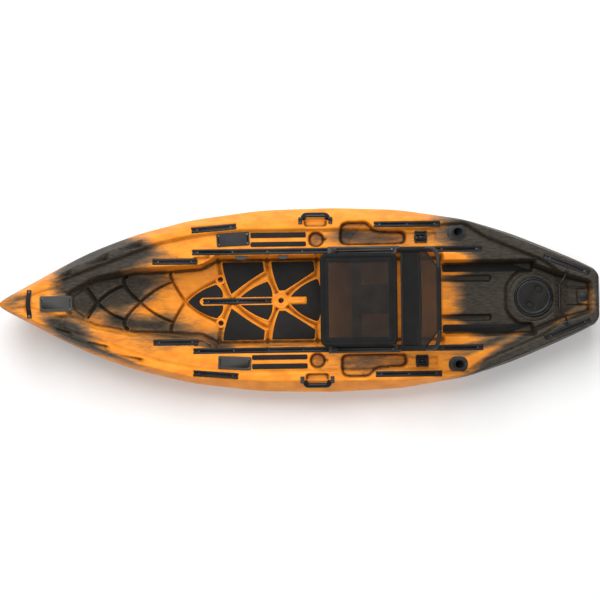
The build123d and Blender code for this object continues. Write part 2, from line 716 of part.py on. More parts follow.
def seat_bracket(side):
    plate = box(BRACKET_X0, BRACKET_X1, 236, 277, BRACKET_Z, BRACKET_Z + 5)
    plate += box(BRACKET_X0, SEAT_X1 - 5, 236, 240, BRACKET_Z, SEAT_TOP - TUBE)
    for x in (KNOB_X, BOLT_X):
        plate -= rod(x, TRACK_Y, 250, 300, 4 + FIT)
    return plate if side > 0 else mirror_y(plate)


def track_bolt(x, side):
    head = box(x - 8, x + 8, TRACK_Y - 4.5, TRACK_Y + 4.5, LEDGE_Z - 6, LEDGE_Z - 3.3)
    bolt = head + rod(x, TRACK_Y, LEDGE_Z - 4, BRACKET_Z + 8, 4)
    return bolt if side > 0 else mirror_y(bolt)


def seat_bolt(side):
    nut_z = BRACKET_Z + 5
    nut = Pos(BOLT_X, side * TRACK_Y, nut_z) * extrude(RegularPolygon(8, 6), 7)
    return track_bolt(BOLT_X, side) + nut


def seat_knob(side):
    nut_z = BRACKET_Z + 5
    knob = rod(KNOB_X, side * TRACK_Y, nut_z, nut_z + 16, 13)
    for i in range(3):
        angle = math.radians(120 * i)
        x = KNOB_X + 11 * math.cos(angle)
        y = side * TRACK_Y + 11 * math.sin(angle)
        knob += rod(x, y, nut_z + 3, nut_z + 16, 6)
    return track_bolt(KNOB_X, side) + knob


def back_plane():
    """Location at the hinge line, X across the boat, Y up the leaning backrest."""
    lean = math.radians(BACK_LEAN)
    normal = (math.cos(lean), 0, -math.sin(lean))
    return Plane(origin=(PIVOT_X, 0, PIVOT_Z), x_dir=(0, 1, 0), z_dir=normal).location


def back_outline(half, bottom, top, corner):
    """Outline across the boat and up the backrest, with round top corners."""
    shape = Pos(0, (bottom + top) / 2) * Rectangle(2 * half, top - bottom)
    return fillet(shape.vertices().sort_by(Axis.Y)[-2:], corner)


def back_frame():
    outer = back_outline(BACK_HALF, -13, BACK_TOP, 92)
    inner = back_outline(BACK_HALF - TUBE, LUMBAR_FOOT, BACK_TOP - TUBE, 70)
    legs = Pos(0, 0) * Rectangle(2 * (BACK_HALF - TUBE), 2 * BACK_BAR)
    frame = back_plane() * extrude(outer - inner - legs, TUBE / 2, both=True)
    return frame - Pos(PIVOT_X, 0, PIVOT_Z) * Rot(90, 0, 0) * Cylinder(PIN_R + FIT, 600)


def back_panel(points, thickness):
    return back_plane() * extrude(make_face(Polyline(*points, close=True)), thickness / 2, both=True)


def lumbar_panel():
    half = BACK_HALF - TUBE
    return back_panel([(-half, LUMBAR_FOOT), (half, LUMBAR_FOOT), (half, LUMBAR_TOP), (-half, LUMBAR_TOP)], 9)


def back_mesh():
    half = BACK_HALF - TUBE
    top = BACK_TOP - TUBE
    return back_panel([(-half, LUMBAR_TOP), (half, LUMBAR_TOP), (half, 330), (140, top),
                       (-140, top), (-half, 330)], 5)


def back_pins():
    out = []
    for side in (1, -1):
        pin = Pos(PIVOT_X, side * 249, PIVOT_Z) * Rot(90, 0, 0) * Cylinder(PIN_R, 34)
        pin += Pos(PIVOT_X, side * 267, PIVOT_Z) * Rot(90, 0, 0) * Cylinder(8.5, 4)
        out.append(pin)
    return out


# ---- write every node ---------------------------------------------------
def main():
    save(build_hull(), "hull")
    screws = {}
    for node, place, head_r, head_h, shank_r, length in screw_list():
        screws.setdefault(node, []).append(fastener(place, head_r, head_h, shank_r, length))
    screws["track_screws"] = []
    for name, end_1, end_2 in all_tracks():
        save(gear_track(end_1, end_2), name)
        screws["track_screws"] += track_screws(end_1, end_2)
    for node, pieces in screws.items():
        save(pieces, node)
    save(arch_strap(), "bow_handle")
    save(stern_bail(), "stern_handle")
    save(bail_mounts(), "stern_handle_mounts")
    save(accessory_plate(bow_frame(BOW_PLATE_X), *BOW_PLATE), "bow_plate")
    save(centre_pads(), "centre_deck_pads")
    for side in (1, -1):
        save(side_handle(side), side_name(side, "handle"))
        save(side_handle_mount(side), side_name(side, "handle_mounts"))
        save(accessory_plate(plate_frame(side), *SIDE_PLATE), side_name(side, "plate"))
        save(side_pads(side), side_name(side, "deck_pads"))
        save(deck_strips(side), side_name(side, "deck_strips"))
        save(tank_strip(side), side_name(side, "tank_strip"))
        save(rod_holder(side), side_name(side, "rod_holder"))
        save(paddle_clip(side), side_name(side, "paddle_clip"))
        save(seat_bracket(side), side_name(side, "seat_bracket"))
        save(seat_knob(side), side_name(side, "seat_knob"))
    save([wall_fitting(-302, 65), wall_fitting(-85, 53)], "wall_fittings")
    save(hatch_ring(), "hatch_ring")
    save(hatch_gasket(), "hatch_gasket")
    save(hatch_lid(), "hatch_lid")
    save(drain_collar(), "drain_collar")
    save(drain_washer(), "drain_washer")
    save(drain_plug(), "drain_plug")
    save(seat_frame(), "seat_frame")
    save(seat_pan(), "seat_pan")
    save(seat_webbing(), "seat_webbing")
    save([seat_bolt(1), seat_bolt(-1)], "seat_bolts")
    save(back_frame(), "backrest_frame")
    save(back_mesh(), "backrest_mesh")
    save(lumbar_panel(), "lumbar_panel")
    save(back_pins(), "backrest_pins")


main()
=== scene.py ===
import math

import bpy
import numpy as np
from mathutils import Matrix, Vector


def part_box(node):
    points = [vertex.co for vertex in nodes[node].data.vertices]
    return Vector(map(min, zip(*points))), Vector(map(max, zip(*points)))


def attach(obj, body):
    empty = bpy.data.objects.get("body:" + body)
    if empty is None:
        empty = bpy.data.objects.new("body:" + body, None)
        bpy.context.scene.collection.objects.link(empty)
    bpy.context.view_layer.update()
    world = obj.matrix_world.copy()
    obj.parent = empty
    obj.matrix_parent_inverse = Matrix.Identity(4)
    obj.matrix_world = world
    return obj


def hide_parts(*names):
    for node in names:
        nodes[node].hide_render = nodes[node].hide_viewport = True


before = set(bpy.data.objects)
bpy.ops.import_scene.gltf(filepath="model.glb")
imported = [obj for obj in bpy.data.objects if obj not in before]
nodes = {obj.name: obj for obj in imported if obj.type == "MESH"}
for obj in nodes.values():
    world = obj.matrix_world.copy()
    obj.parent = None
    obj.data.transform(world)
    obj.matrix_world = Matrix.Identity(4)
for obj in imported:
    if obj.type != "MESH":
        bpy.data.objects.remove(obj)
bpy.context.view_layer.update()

# Looks for a short sit-on-top kayak. Lengths in the code are millimetres in the row
# frame (bow at -X, starboard at +Y, keel at z 0) and become metres in the meshes.

MM = 0.001


# ---- materials ------------------------------------------------------------
class Graph:
    """A material with short helpers for adding and joining nodes."""

    def __init__(self, name, rough=0.5, metallic=0.0, **sockets):
        self.mat = bpy.data.materials.new(name)
        self.mat.use_nodes = True
        self.tree = self.mat.node_tree
        self.shader = self.tree.nodes["Principled BSDF"]
        self.shader.inputs["Roughness"].default_value = rough
        self.shader.inputs["Metallic"].default_value = metallic
        for key, value in sockets.items():
            self.shader.inputs[key.replace("_", " ")].default_value = value
        self.place = self.node("ShaderNodeTexCoord").outputs["Object"]

    def node(self, kind, **settings):
        made = self.tree.nodes.new(kind)
        for key, value in settings.items():
            setattr(made, key, value)
        return made

    def link(self, a, b):
        self.tree.links.new(a, b)

    def stretched(self, scale, turn=0.0):
        mapping = self.node("ShaderNodeMapping")
        mapping.inputs["Scale"].default_value = scale
        mapping.inputs["Rotation"].default_value = (0, 0, turn)
        self.link(self.place, mapping.inputs["Vector"])
        return mapping.outputs["Vector"]

    def noise(self, scale, detail=3.0, vector=None, rough=0.55):
        made = self.node("ShaderNodeTexNoise")
        made.inputs["Scale"].default_value = scale
        made.inputs["Detail"].default_value = detail
        made.inputs["Roughness"].default_value = rough
        self.link(vector or self.place, made.inputs["Vector"])
        return made.outputs["Fac"]

    def bands(self, scale, direction, profile="SIN"):
        made = self.node("ShaderNodeTexWave", wave_type="BANDS", bands_direction=direction,
                         wave_profile=profile)
        made.inputs["Scale"].default_value = scale
        made.inputs["Distortion"].default_value = 0.0
        self.link(self.place, made.inputs["Vector"])
        return made.outputs["Fac"]

    def maths(self, operation, a, b=None, clamp=False):
        made = self.node("ShaderNodeMath", operation=operation, use_clamp=clamp)
        for socket, value in zip(made.inputs, (a, b)):
            if value is None:
                continue
            if isinstance(value, (int, float)):
                socket.default_value = value
            else:
                self.link(value, socket)
        return made.outputs[0]

    def remap(self, value, a, b, c, d, smooth=False):
        made = self.node("ShaderNodeMapRange")
        if smooth:
            made.interpolation_type = "SMOOTHSTEP"
        self.link(value, made.inputs["Value"])
        for key, number in zip(("From Min", "From Max", "To Min", "To Max"), (a, b, c, d)):
            made.inputs[key].default_value = number
        return made.outputs["Result"]

    def mix(self, factor, a, b):
        made = self.node("ShaderNodeMix", data_type="RGBA")
        self.link(factor, made.inputs["Factor"])
        for socket, value in ((made.inputs[6], a), (made.inputs[7], b)):
            if isinstance(value, tuple):
                socket.default_value = (*value, 1.0)
            else:
                self.link(value, socket)
        return made.outputs[2]

    def colour(self, value):
        self.link(value, self.shader.inputs["Base Color"])

    def rough(self, value):
        self.link(value, self.shader.inputs["Roughness"])

    def bump(self, height, strength, distance):
        made = self.node("ShaderNodeBump")
        made.inputs["Strength"].default_value = strength
        made.inputs["Distance"].default_value = distance
        self.link(height, made.inputs["Height"])
        self.link(made.outputs["Normal"], self.shader.inputs["Normal"])


def grained(name, dark, light, rough, grain=900.0, bump=0.25, stretch=(1, 1, 1), turn=0.0,
            metallic=0.0, depth=0.0004, specular=0.24, **sockets):
    """Fine-grained plastic, rubber or metal: worn patches, grain and uneven gloss."""
    g = Graph(name, metallic=metallic, Specular_IOR_Level=specular, **sockets)
    fine = g.noise(grain, 2.0, g.stretched(stretch, turn))
    broad = g.noise(9.0, 4.0)
    wear = g.maths("ADD", g.maths("MULTIPLY", fine, 0.45), g.maths("MULTIPLY", broad, 0.55))
    g.colour(g.mix(g.remap(wear, 0.35, 0.65, 0.0, 1.0, True), dark, light))
    g.rough(g.remap(wear, 0.3, 0.7, *rough))
    g.bump(fine, bump, depth)
    return g.mat


def woven(name, dark, light, pitch, rough=(0.75, 0.95), holes=0.0, axes="XY"):
    """Plain weave with threads across two axes, pitch in mm."""
    g = Graph(name, Sheen_Weight=0.015, Specular_IOR_Level=0.14)
    scale = 1000.0 / pitch / 2.0 * math.pi / 10.0
    warp = g.bands(scale, axes[0])
    weft = g.bands(scale, axes[1])
    thread = g.maths("MAXIMUM", warp, weft)
    fuzz = g.noise(1400.0, 2.0)
    soiled = g.noise(14.0, 4.0)
    tone = g.maths("ADD", g.maths("MULTIPLY", thread, 0.5), g.maths("MULTIPLY", soiled, 0.6))
    g.colour(g.mix(g.remap(tone, 0.35, 0.95, 0.0, 1.0), dark, light))
    g.rough(g.remap(fuzz, 0.3, 0.7, *rough))
    g.bump(g.maths("ADD", thread, g.maths("MULTIPLY", fuzz, 0.3)), 0.5, 0.0006)
    if holes:
        g.link(g.remap(thread, holes - 0.06, holes + 0.06, 0.0, 1.0),
               g.shader.inputs["Alpha"])
    return g.mat


def hull_material():
    """Marbled plastic: orange, with brushed charcoal where the camo attribute is high, painted
    shade on the bow tip through that same attribute, and painted shade in the deck's hollows.
    """
    g = Graph("marbled_hull_with_painted_shade", Specular_IOR_Level=0.18)
    camo_and_shade = g.node("ShaderNodeAttribute", attribute_type="GEOMETRY", attribute_name="camo_and_shade")
    streaks = g.noise(7.0, 5.0, g.stretched((1.0, 4.6, 2.0), 0.12), 0.62)
    wisps = g.noise(30.0, 4.0, g.stretched((1.0, 5.0, 2.0), -0.22), 0.6)
    ragged = g.maths("ADD", g.maths("MULTIPLY", streaks, 0.72), g.maths("MULTIPLY", wisps, 0.28))
    swing = g.maths("MULTIPLY", g.maths("SUBTRACT", ragged, 0.5), 1.5)
    level = g.maths("ADD", camo_and_shade.outputs["Fac"], swing)
    mottle = g.noise(11.0, 5.0, g.stretched((1.0, 1.8, 1.0)), 0.6)
    orange = g.mix(g.remap(mottle, 0.32, 0.68, 0.0, 1.0, True),
                   (0.64, 0.195, 0.012), (0.79, 0.275, 0.020))
    tinted = g.mix(g.remap(level, 0.10, 0.72, 0.0, 0.96, True), orange, (0.135, 0.076, 0.034))
    smoke = g.mix(g.remap(wisps, 0.35, 0.65, 0.0, 1.0, True),
                  (0.018, 0.0145, 0.0100), (0.042, 0.034, 0.024))
    marbled = g.mix(g.remap(level, 0.58, 1.02, 0.0, 1.0, True), tinted, smoke)
    # painted shade: the attribute read here darkens hollows, grooves and the feet of walls almost
    # to black, a little unevenly along the wisps noise
    painted_shade = g.node("ShaderNodeAttribute", attribute_type="GEOMETRY", attribute_name="painted_shade")
    painted_shade_level = g.maths("MULTIPLY", painted_shade.outputs["Fac"], g.remap(wisps, 0.3, 0.7, 0.75, 1.0, True))
    g.colour(g.mix(painted_shade_level, marbled, (0.012, 0.009, 0.006)))
    grain = g.noise(520.0, 2.0)
    pebble = g.noise(160.0, 3.0)
    skin = g.maths("ADD", g.maths("MULTIPLY", grain, 0.6), g.maths("MULTIPLY", pebble, 0.4))
    g.rough(g.remap(pebble, 0.3, 0.7, 0.40, 0.56))
    g.bump(skin, 0.22, 0.0006)
    return g.mat


HULL = hull_material()
BLACK = grained("moulded_black_plastic", (0.008, 0.008, 0.009), (0.020, 0.020, 0.021), (0.24, 0.42))
GLOSS = grained("polished_black_plastic", (0.006, 0.006, 0.007), (0.014, 0.014, 0.015),
                (0.12, 0.26), bump=0.1)
PLATE = grained("plate_black_plastic", (0.010, 0.010, 0.011), (0.020, 0.020, 0.022), (0.42, 0.6))
# paler charcoal: the bow plate's own colour, and a painted reflection on the port plate
PLATE_CHARCOAL_AND_SHEEN = grained("plate_charcoal_and_painted_sheen", (0.030, 0.030, 0.029), (0.046, 0.046, 0.044),
                     (0.46, 0.62))
LID = grained("hatch_charcoal_plastic", (0.008, 0.008, 0.0075), (0.016, 0.015, 0.014), (0.5, 0.68),
              grain=420.0, bump=0.35, specular=0.12)
FLANGE = grained("rod_holder_charcoal", (0.014, 0.014, 0.014), (0.028, 0.028, 0.028), (0.40, 0.58))
RUBBER = grained("black_rubber", (0.006, 0.006, 0.006), (0.014, 0.014, 0.014), (0.62, 0.82))
FOAM = grained("brushed_foam", (0.006, 0.0055, 0.0055), (0.017, 0.0155, 0.015), (0.72, 0.92),
               grain=240.0, bump=0.5, stretch=(1.0, 9.0, 1.0), depth=0.0005)
TRACK = grained("anodised_track", (0.010, 0.010, 0.011), (0.024, 0.024, 0.026), (0.34, 0.5),
                stretch=(1.0, 12.0, 1.0), metallic=0.55, bump=0.12)
TUBE_PAINT = grained("powder_coated_tube", (0.008, 0.008, 0.008), (0.018, 0.018, 0.017),
                     (0.46, 0.62), grain=1200.0, bump=0.35, depth=0.0003)
BRACKET = grained("anodised_bracket", (0.030, 0.030, 0.029), (0.052, 0.051, 0.049), (0.42, 0.58),
                  stretch=(1.0, 10.0, 1.0), metallic=0.25, bump=0.12)
DARK_STEEL = grained("blackened_steel", (0.05, 0.05, 0.052), (0.11, 0.11, 0.112), (0.26, 0.42),
                     metallic=0.9, bump=0.08)
WEBBING = woven("black_webbing", (0.006, 0.006, 0.006), (0.020, 0.020, 0.020), 2.2)
MESH = woven("seat_mesh_cloth", (0.008, 0.007, 0.006), (0.028, 0.023, 0.020), 2.6, holes=0.22)
BACK_MESH = woven("back_mesh_cloth", (0.008, 0.007, 0.006), (0.026, 0.022, 0.019), 2.6, holes=0.20,
                  axes="YZ")
CLOTH = woven("seat_black_fabric", (0.005, 0.005, 0.005), (0.014, 0.014, 0.014), 1.6)
THREAD = grained("seam_thread", (0.030, 0.029, 0.028), (0.060, 0.058, 0.056), (0.7, 0.9))


# ---- mesh helpers ---------------------------------------------------------
def piece(name, verts, faces, material, body, slot, smooth=True, replaces=()):
    mesh = bpy.data.meshes.new(name)
    mesh.from_pydata((np.asarray(verts, float) * MM).tolist(), [], faces)
    mesh.materials.append(material)
    mesh.update()
    if smooth:
        mesh.polygons.foreach_set("use_smooth", [True] * len(mesh.polygons))
    obj = bpy.data.objects.new(name, mesh)
    bpy.context.scene.collection.objects.link(obj)
    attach(obj, body)
    if replaces:
        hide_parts(*replaces)
    return obj


def bezier(a, b, c, count):
    t = np.linspace(0, 1, count)[:, None]
    a, b, c = (np.asarray(p, float) for p in (a, b, c))
    return (1 - t) ** 2 * a + 2 * t * (1 - t) * b + t ** 2 * c


def rounded_path(points, radius, steps=7, closed=False):
    """Points joined by straight runs, with each corner turned on a soft curve."""
    points = [np.asarray(p, float) for p in points]
    out = []
    count = len(points)
    for i, corner in enumerate(points):
        if not closed and i in (0, count - 1):
            out.append(corner[None, :])
            continue
        before, after = points[i - 1], points[(i + 1) % count]
        reach_a = min(radius, np.linalg.norm(before - corner) * 0.48)
        reach_b = min(radius, np.linalg.norm(after - corner) * 0.48)
        start = corner + (before - corner) / np.linalg.norm(before - corner) * reach_a
        end = corner + (after - corner) / np.linalg.norm(after - corner) * reach_b
        out.append(bezier(start, corner, end, steps))
    return np.concatenate(out)


def rounded_box(x0, x1, y0, y1, radius, steps):
    """Closed outline of a rectangle with soft corners."""
    return rounded_path([(x0, y0), (x1, y0), (x1, y1), (x0, y1)], radius, steps, closed=True)


def swept(path, profile, closed=False):
    """Verts and faces of a profile (across, up) swept along a path, with end caps."""
    path = np.asarray(path, float)
    count, sides = len(path), len(profile)
    ahead = np.roll(path, -1, 0) - np.roll(path, 1, 0)
    if not closed:
        ahead[0], ahead[-1] = path[1] - path[0], path[-1] - path[-2]
    ahead /= np.linalg.norm(ahead, axis=1)[:, None]
    up = np.array([0.0, 0.0, 1.0])
    if abs(ahead[:, 2]).max() > 0.9:
        up = np.array([1.0, 0.0, 0.0])
    verts = []
    for p, d in zip(path, ahead):
        across = np.cross(up, d)
        across /= np.linalg.norm(across)
        rise = np.cross(d, across)
        verts.extend(p + across * u + rise * v for u, v in profile)
    faces = []
    for i in range(count if closed else count - 1):
        for j in range(sides):
            a, b = i * sides + j, i * sides + (j + 1) % sides
            c, d = (b + sides) % (count * sides), (a + sides) % (count * sides)
            faces.append((a, b, c, d))
    if not closed:
        faces.append(tuple(reversed(range(sides))))
        faces.append(tuple(range((count - 1) * sides, count * sides)))
    return verts, faces


def circle(radius, sides=16):
    turns = np.linspace(0, 2 * math.pi, sides, endpoint=False)
    return [(radius * math.cos(t), radius * math.sin(t)) for t in turns]


def flat_strap(width, thick):
    """Cross-section of a woven strap, with rounded edges."""
    w, t = width / 2, thick / 2
    return [(w, 0), (w - t * 0.3, t * 0.8), (w - t, t), (0, t), (t - w, t), (t * 0.3 - w, t * 0.8),
            (-w, 0), (t * 0.3 - w, -t * 0.8), (t - w, -t), (0, -t), (w - t, -t),
            (w - t * 0.3, -t * 0.8)]


def slab(outline, low, high, edge=1.2):
    """Verts and faces of a flat pad with softened top edges, outline run anticlockwise."""
    outline = np.asarray(outline, float)
    xs, ys = outline.T
    area = np.sum(xs * np.roll(ys, -1) - np.roll(xs, -1) * ys)
    if area < 0:
        outline = outline[::-1]
    ahead = np.roll(outline, -1, 0) - outline
    ahead /= np.maximum(np.linalg.norm(ahead, axis=1), 1e-6)[:, None]
    normal = np.stack([-ahead[:, 1], ahead[:, 0]], 1)
    inward = normal + np.roll(normal, 1, 0)
    inward /= np.maximum(np.linalg.norm(inward, axis=1), 0.4)[:, None]
    levels = [(0.0, low), (0.0, high - edge), (0.3 * edge, high - 0.35 * edge), (edge, high)]
    count = len(outline)
    verts = [(*(p + n * inset), z) for inset, z in levels for p, n in zip(outline, inward)]
    faces = [tuple(reversed(range(count)))]
    for k in range(len(levels) - 1):
        for j in range(count):
            a, b = k * count + j, k * count + (j + 1) % count
            faces.append((a, b, b + count, a + count))
    faces.append(tuple(range(3 * count, 4 * count)))
    return verts, faces


def joined(*parts):
    """Several (verts, faces) as one."""
    verts, faces = [], []
    for some_verts, some_faces in parts:
        base = len(verts)
        verts.extend(tuple(v) for v in some_verts)
        faces.extend(tuple(i + base for i in f) for f in some_faces)
    return verts, faces


def turned(profile, centre, sides=64, start=0.0, end=2 * math.pi):
    """A profile of (radius, height) points turned round an upright axis."""
    full = abs(end - start - 2 * math.pi) < 1e-6
    turns = np.linspace(start, end, sides, endpoint=not full)
    verts = [(centre[0] + r * math.cos(t), centre[1] + r * math.sin(t), z)
             for t in turns for r, z in profile]
    n, faces = len(profile), []
    for i in range(sides if full else sides - 1):
        for j in range(n - 1):
            a, c = i * n + j, ((i + 1) % sides) * n + j
            faces.append((a, c, c + 1, a + 1))
    return verts, faces


def shade_by_angle(obj, degrees=35.0):
    bpy.context.view_layer.objects.active = obj
    obj.select_set(True)
    bpy.ops.object.shade_smooth_by_angle(angle=math.radians(degrees))
    obj.select_set(False)


# ---- hull: lines and deck form ---------------------------------------------
SIDES = ((1, "starboard"), (-1, "port"))

# Heights of the side deck, foot well floor, tank floor and the seat of the drain
LEDGE, FLOOR, TANK, DRAIN_SEAT = 262.0, 88.0, 120.0, 250.0

# x, half beam, half width at the gunwale edge, edge height, keel height
STATIONS = np.array([
    (-1550, 14, 9, 408.7, 245), (-1480, 62, 44, 397.9, 140), (-1390, 110, 80, 384, 78),
    (-1245, 192, 152, 361.6, 32), (-1092, 270, 224, 338, 10), (-860, 358, 318, 310, 0),
    (-560, 434, 395, 290, 0), (-200, 480, 418, 290, 0), (157, 489, 421, 290, 0),
    (520, 474, 422, 290, 0), (860, 415, 406, 290, 0), (1100, 341, 318, 290, 2),
    (1330, 245, 224, 303, 18), (1480, 178, 162, 322, 42), (1530, 150, 136, 327, 58),
    (1550, 124, 112, 330, 66)], float)
# Recessed side deck: x, half width, height
SIDE_DECK = np.array([
    (-1300, 92, 370), (-1215, 130, 330), (-965, 222, 296), (-735, 306, 272), (-560, 342, 262),
    (-430, 357, 262), (-300, 366, 262), (670, 366, 262), (745, 386, 262), (860, 388, 262),
    (915, 352, 262), (970, 316, 262), (1130, 250, 262), (1272, 190, 262), (1352, 126, 262),
    (1378, 118, 262), (1506, 76, 262)], float)
# Wells, bow to stern: x, half width at the rim and at the floor, floor height, rim height
WELLS = [
    np.array([(-1200, 62, 50, 304, 328), (-1065, 136, 112, 232, 309), (-865, 175, 150, 150, 286),
              (-680, 184, 158, 88, 268), (-520, 192, 170, 88, 262), (-430, 236, 214, 88, 262),
              (742, 236, 214, 88, 262)], float),
    np.array([(742, 192, 184, 120, 262), (1080, 192, 184, 120, 262)], float),
    np.array([(1080, 192, 184, 150, 262), (1225, 172, 164, 150, 262), (1332, 130, 120, 150, 262)],
             float),
    np.array([(1332, 130, 120, 150, 262), (1400, 106, 96, 214, 262), (1500, 75, 68, 250, 262)],
             float),
]
# Ends of the starboard gear tracks; port is their mirror image
HALF_TRACKS = [
    ((-765, 210), (-533, 210)), ((-559, 370), (-326, 389)), ((-559, 257), (951, 257)),
    ((388, 389), (733, 389)), ((1270, 213), (1503, 121)),
]
SCUPPERS = ((-418, 115), (-418, -115), (-100, 0))
RODS = ((819, 344), (819, -344))
HATCH, DRAIN = (1225, 0), (1476, 0)

# Grooves of the foot well: nodes on the centre line, junctions and wall tops (x, half y)
NODES = (-1056, -838, -605, -358, -100)
JUNCTIONS = ((-921, 89), (-674, 106), (-418, 117), (-169, 144), (85, 132))
WALL_TOPS = ((-1105, 76), (-905, 139), (-678, 156), (-429, 243), (-167, 245), (91, 249))


def arc(a, via, b, count=14):
    """Points on the circle through three points."""
    a, via, b = (np.asarray(p, float) for p in (a, via, b))
    control = 2 * via - (a + b) / 2
    return bezier(a, control, b, count)


def outline_of(corners, side=1):
    """Closed outline; a corner may carry a point that its next edge curves through."""
    out = []
    for corner, following in zip(corners, corners[1:] + corners[:1]):
        if len(corner) == 2:
            out.append(arc(corner[0], corner[1], following[0])[:-1])
        else:
            out.append(np.array([corner[0]], float))
    points = np.concatenate(out)
    return points * (1, side)


CENTRE_PADS = [
    [((-590, 0), (-526, 52)), ((-443, 88), (-436, 86)), ((-430, 80), (-409, 52)), ((-407, 21),),
     ((-515, 21), (-529, 0)), ((-515, -21),), ((-407, -21), (-409, -52)),
     ((-430, -80), (-436, -86)), ((-443, -88), (-526, -52))],
    [((-313, 21), (-246, 68)), ((-178, 98), (-170, 100)), ((-165, 93), (-149, 60)), ((-145, 21),)],
    [((-313, -21),), ((-145, -21), (-149, -60)), ((-165, -93), (-170, -100)),
     ((-178, -98), (-246, -68))],
    [((33, 20),), ((-48, 20), (8, 73)), ((84, 110), (94, 108)), ((100, 98), (114, 0)),
     ((100, -98), (94, -108)), ((84, -110), (8, -73)), ((-48, -20),), ((33, -20), (36, 0))],
]
SIDE_PADS = [
    [((-400, 204),), ((-200, 204), (-193, 202)), ((-192, 196),), ((-187, 156), (-270, 104)),
     ((-361, 38), (-391, 120)), ((-406, 194), (-406, 201))],
    [((-141, 204),), ((66, 204), (73, 202)), ((75, 196),), ((78, 156), (8, 108)), ((-79, 54),),
     ((-110, 54), (-134, 120)), ((-148, 194), (-148, 201))],
]


def soften(values, sigma, axis=0):
    """Gaussian blur along one axis; sigma in samples."""
    reach = max(1, int(math.ceil(3 * sigma)))
    kernel = np.exp(-0.5 * (np.arange(-reach, reach + 1) / sigma) ** 2)
    kernel /= kernel.sum()
    pad = [(0, 0)] * values.ndim
    pad[axis] = (reach, reach)
    padded = np.pad(values, pad, mode="edge")
    size = values.shape[axis]
    out = np.zeros_like(values, dtype=float)
    for k, weight in enumerate(kernel):
        out += weight * np.take(padded, range(k, k + size), axis)
    return out


CELL = 2.5                # spacing of the deck's height samples
gx = np.arange(-1550, 1551, CELL)
gy = np.arange(-490, 491, CELL)
FAR = 99.0                # stands for a distance that is not worked out
GX, GY = np.meshgrid(gx, gy, indexing="ij")
GA = np.abs(GY)


def blurred(values, sigma):
    return soften(soften(values, sigma / CELL, 0), sigma / CELL, 1)


def off_segment(a, b, both=False):
    """Distance of every sample from a straight run; both also mirrors it to port."""
    a, b = np.array(a, float), np.array(b, float)
    yy = GA if both else GY
    d = b - a
    t = np.clip(((GX - a[0]) * d[0] + (yy - a[1]) * d[1]) / max(d @ d, 1e-9), 0, 1)
    return np.hypot(GX - a[0] - t * d[0], yy - a[1] - t * d[1])


def off_path(points, both=False, closed=False):
    points = list(points)
    if closed:
        points.append(points[0])
    return np.minimum.reduce([off_segment(a, b, both) for a, b in zip(points, points[1:])])


def inside(outline, both=False):
    """True for samples inside a closed outline, by counting crossings."""
    yy = GA if both else GY
    hit = np.zeros(GX.shape, bool)
    outline = np.asarray(outline, float)
    for (x0, y0), (x1, y1) in zip(outline, np.roll(outline, -1, 0)):
        if y0 == y1:
            continue
        crosses = (y0 > yy) != (y1 > yy)
        hit ^= crosses & (GX < (x1 - x0) * (yy - y0) / (y1 - y0) + x0)
    return hit


def near(x0, x1, y0, y1):
    """True inside a box and its mirror image on the other side of the boat."""
    return (GX >= x0) & (GX <= x1) & (GA >= y0) & (GA <= y1)


def edge_height(x):
    return np.interp(x, STATIONS[:, 0], STATIONS[:, 3])


def well_grooves():
    """Depth of the moulded grooves in the foot well."""
    lines = [arc((-1056, 0), (-1082, 40), WALL_TOPS[0])]
    for i, node in enumerate(NODES):
        out = JUNCTIONS[i]
        middle = ((node + out[0]) / 2 - 6, out[1] / 2 + 9)
        lines.append(arc((node, 0), middle, out))
        if i + 1 < len(NODES):
            start = (NODES[i + 1], 0)
            top = WALL_TOPS[i + 1]
            lines.append(arc(start, (out[0] + 6, out[1]), top, 18))
    lines.append(np.array([JUNCTIONS[-1], WALL_TOPS[-1]], float))
    return np.minimum.reduce([off_path(line, both=True) for line in lines])


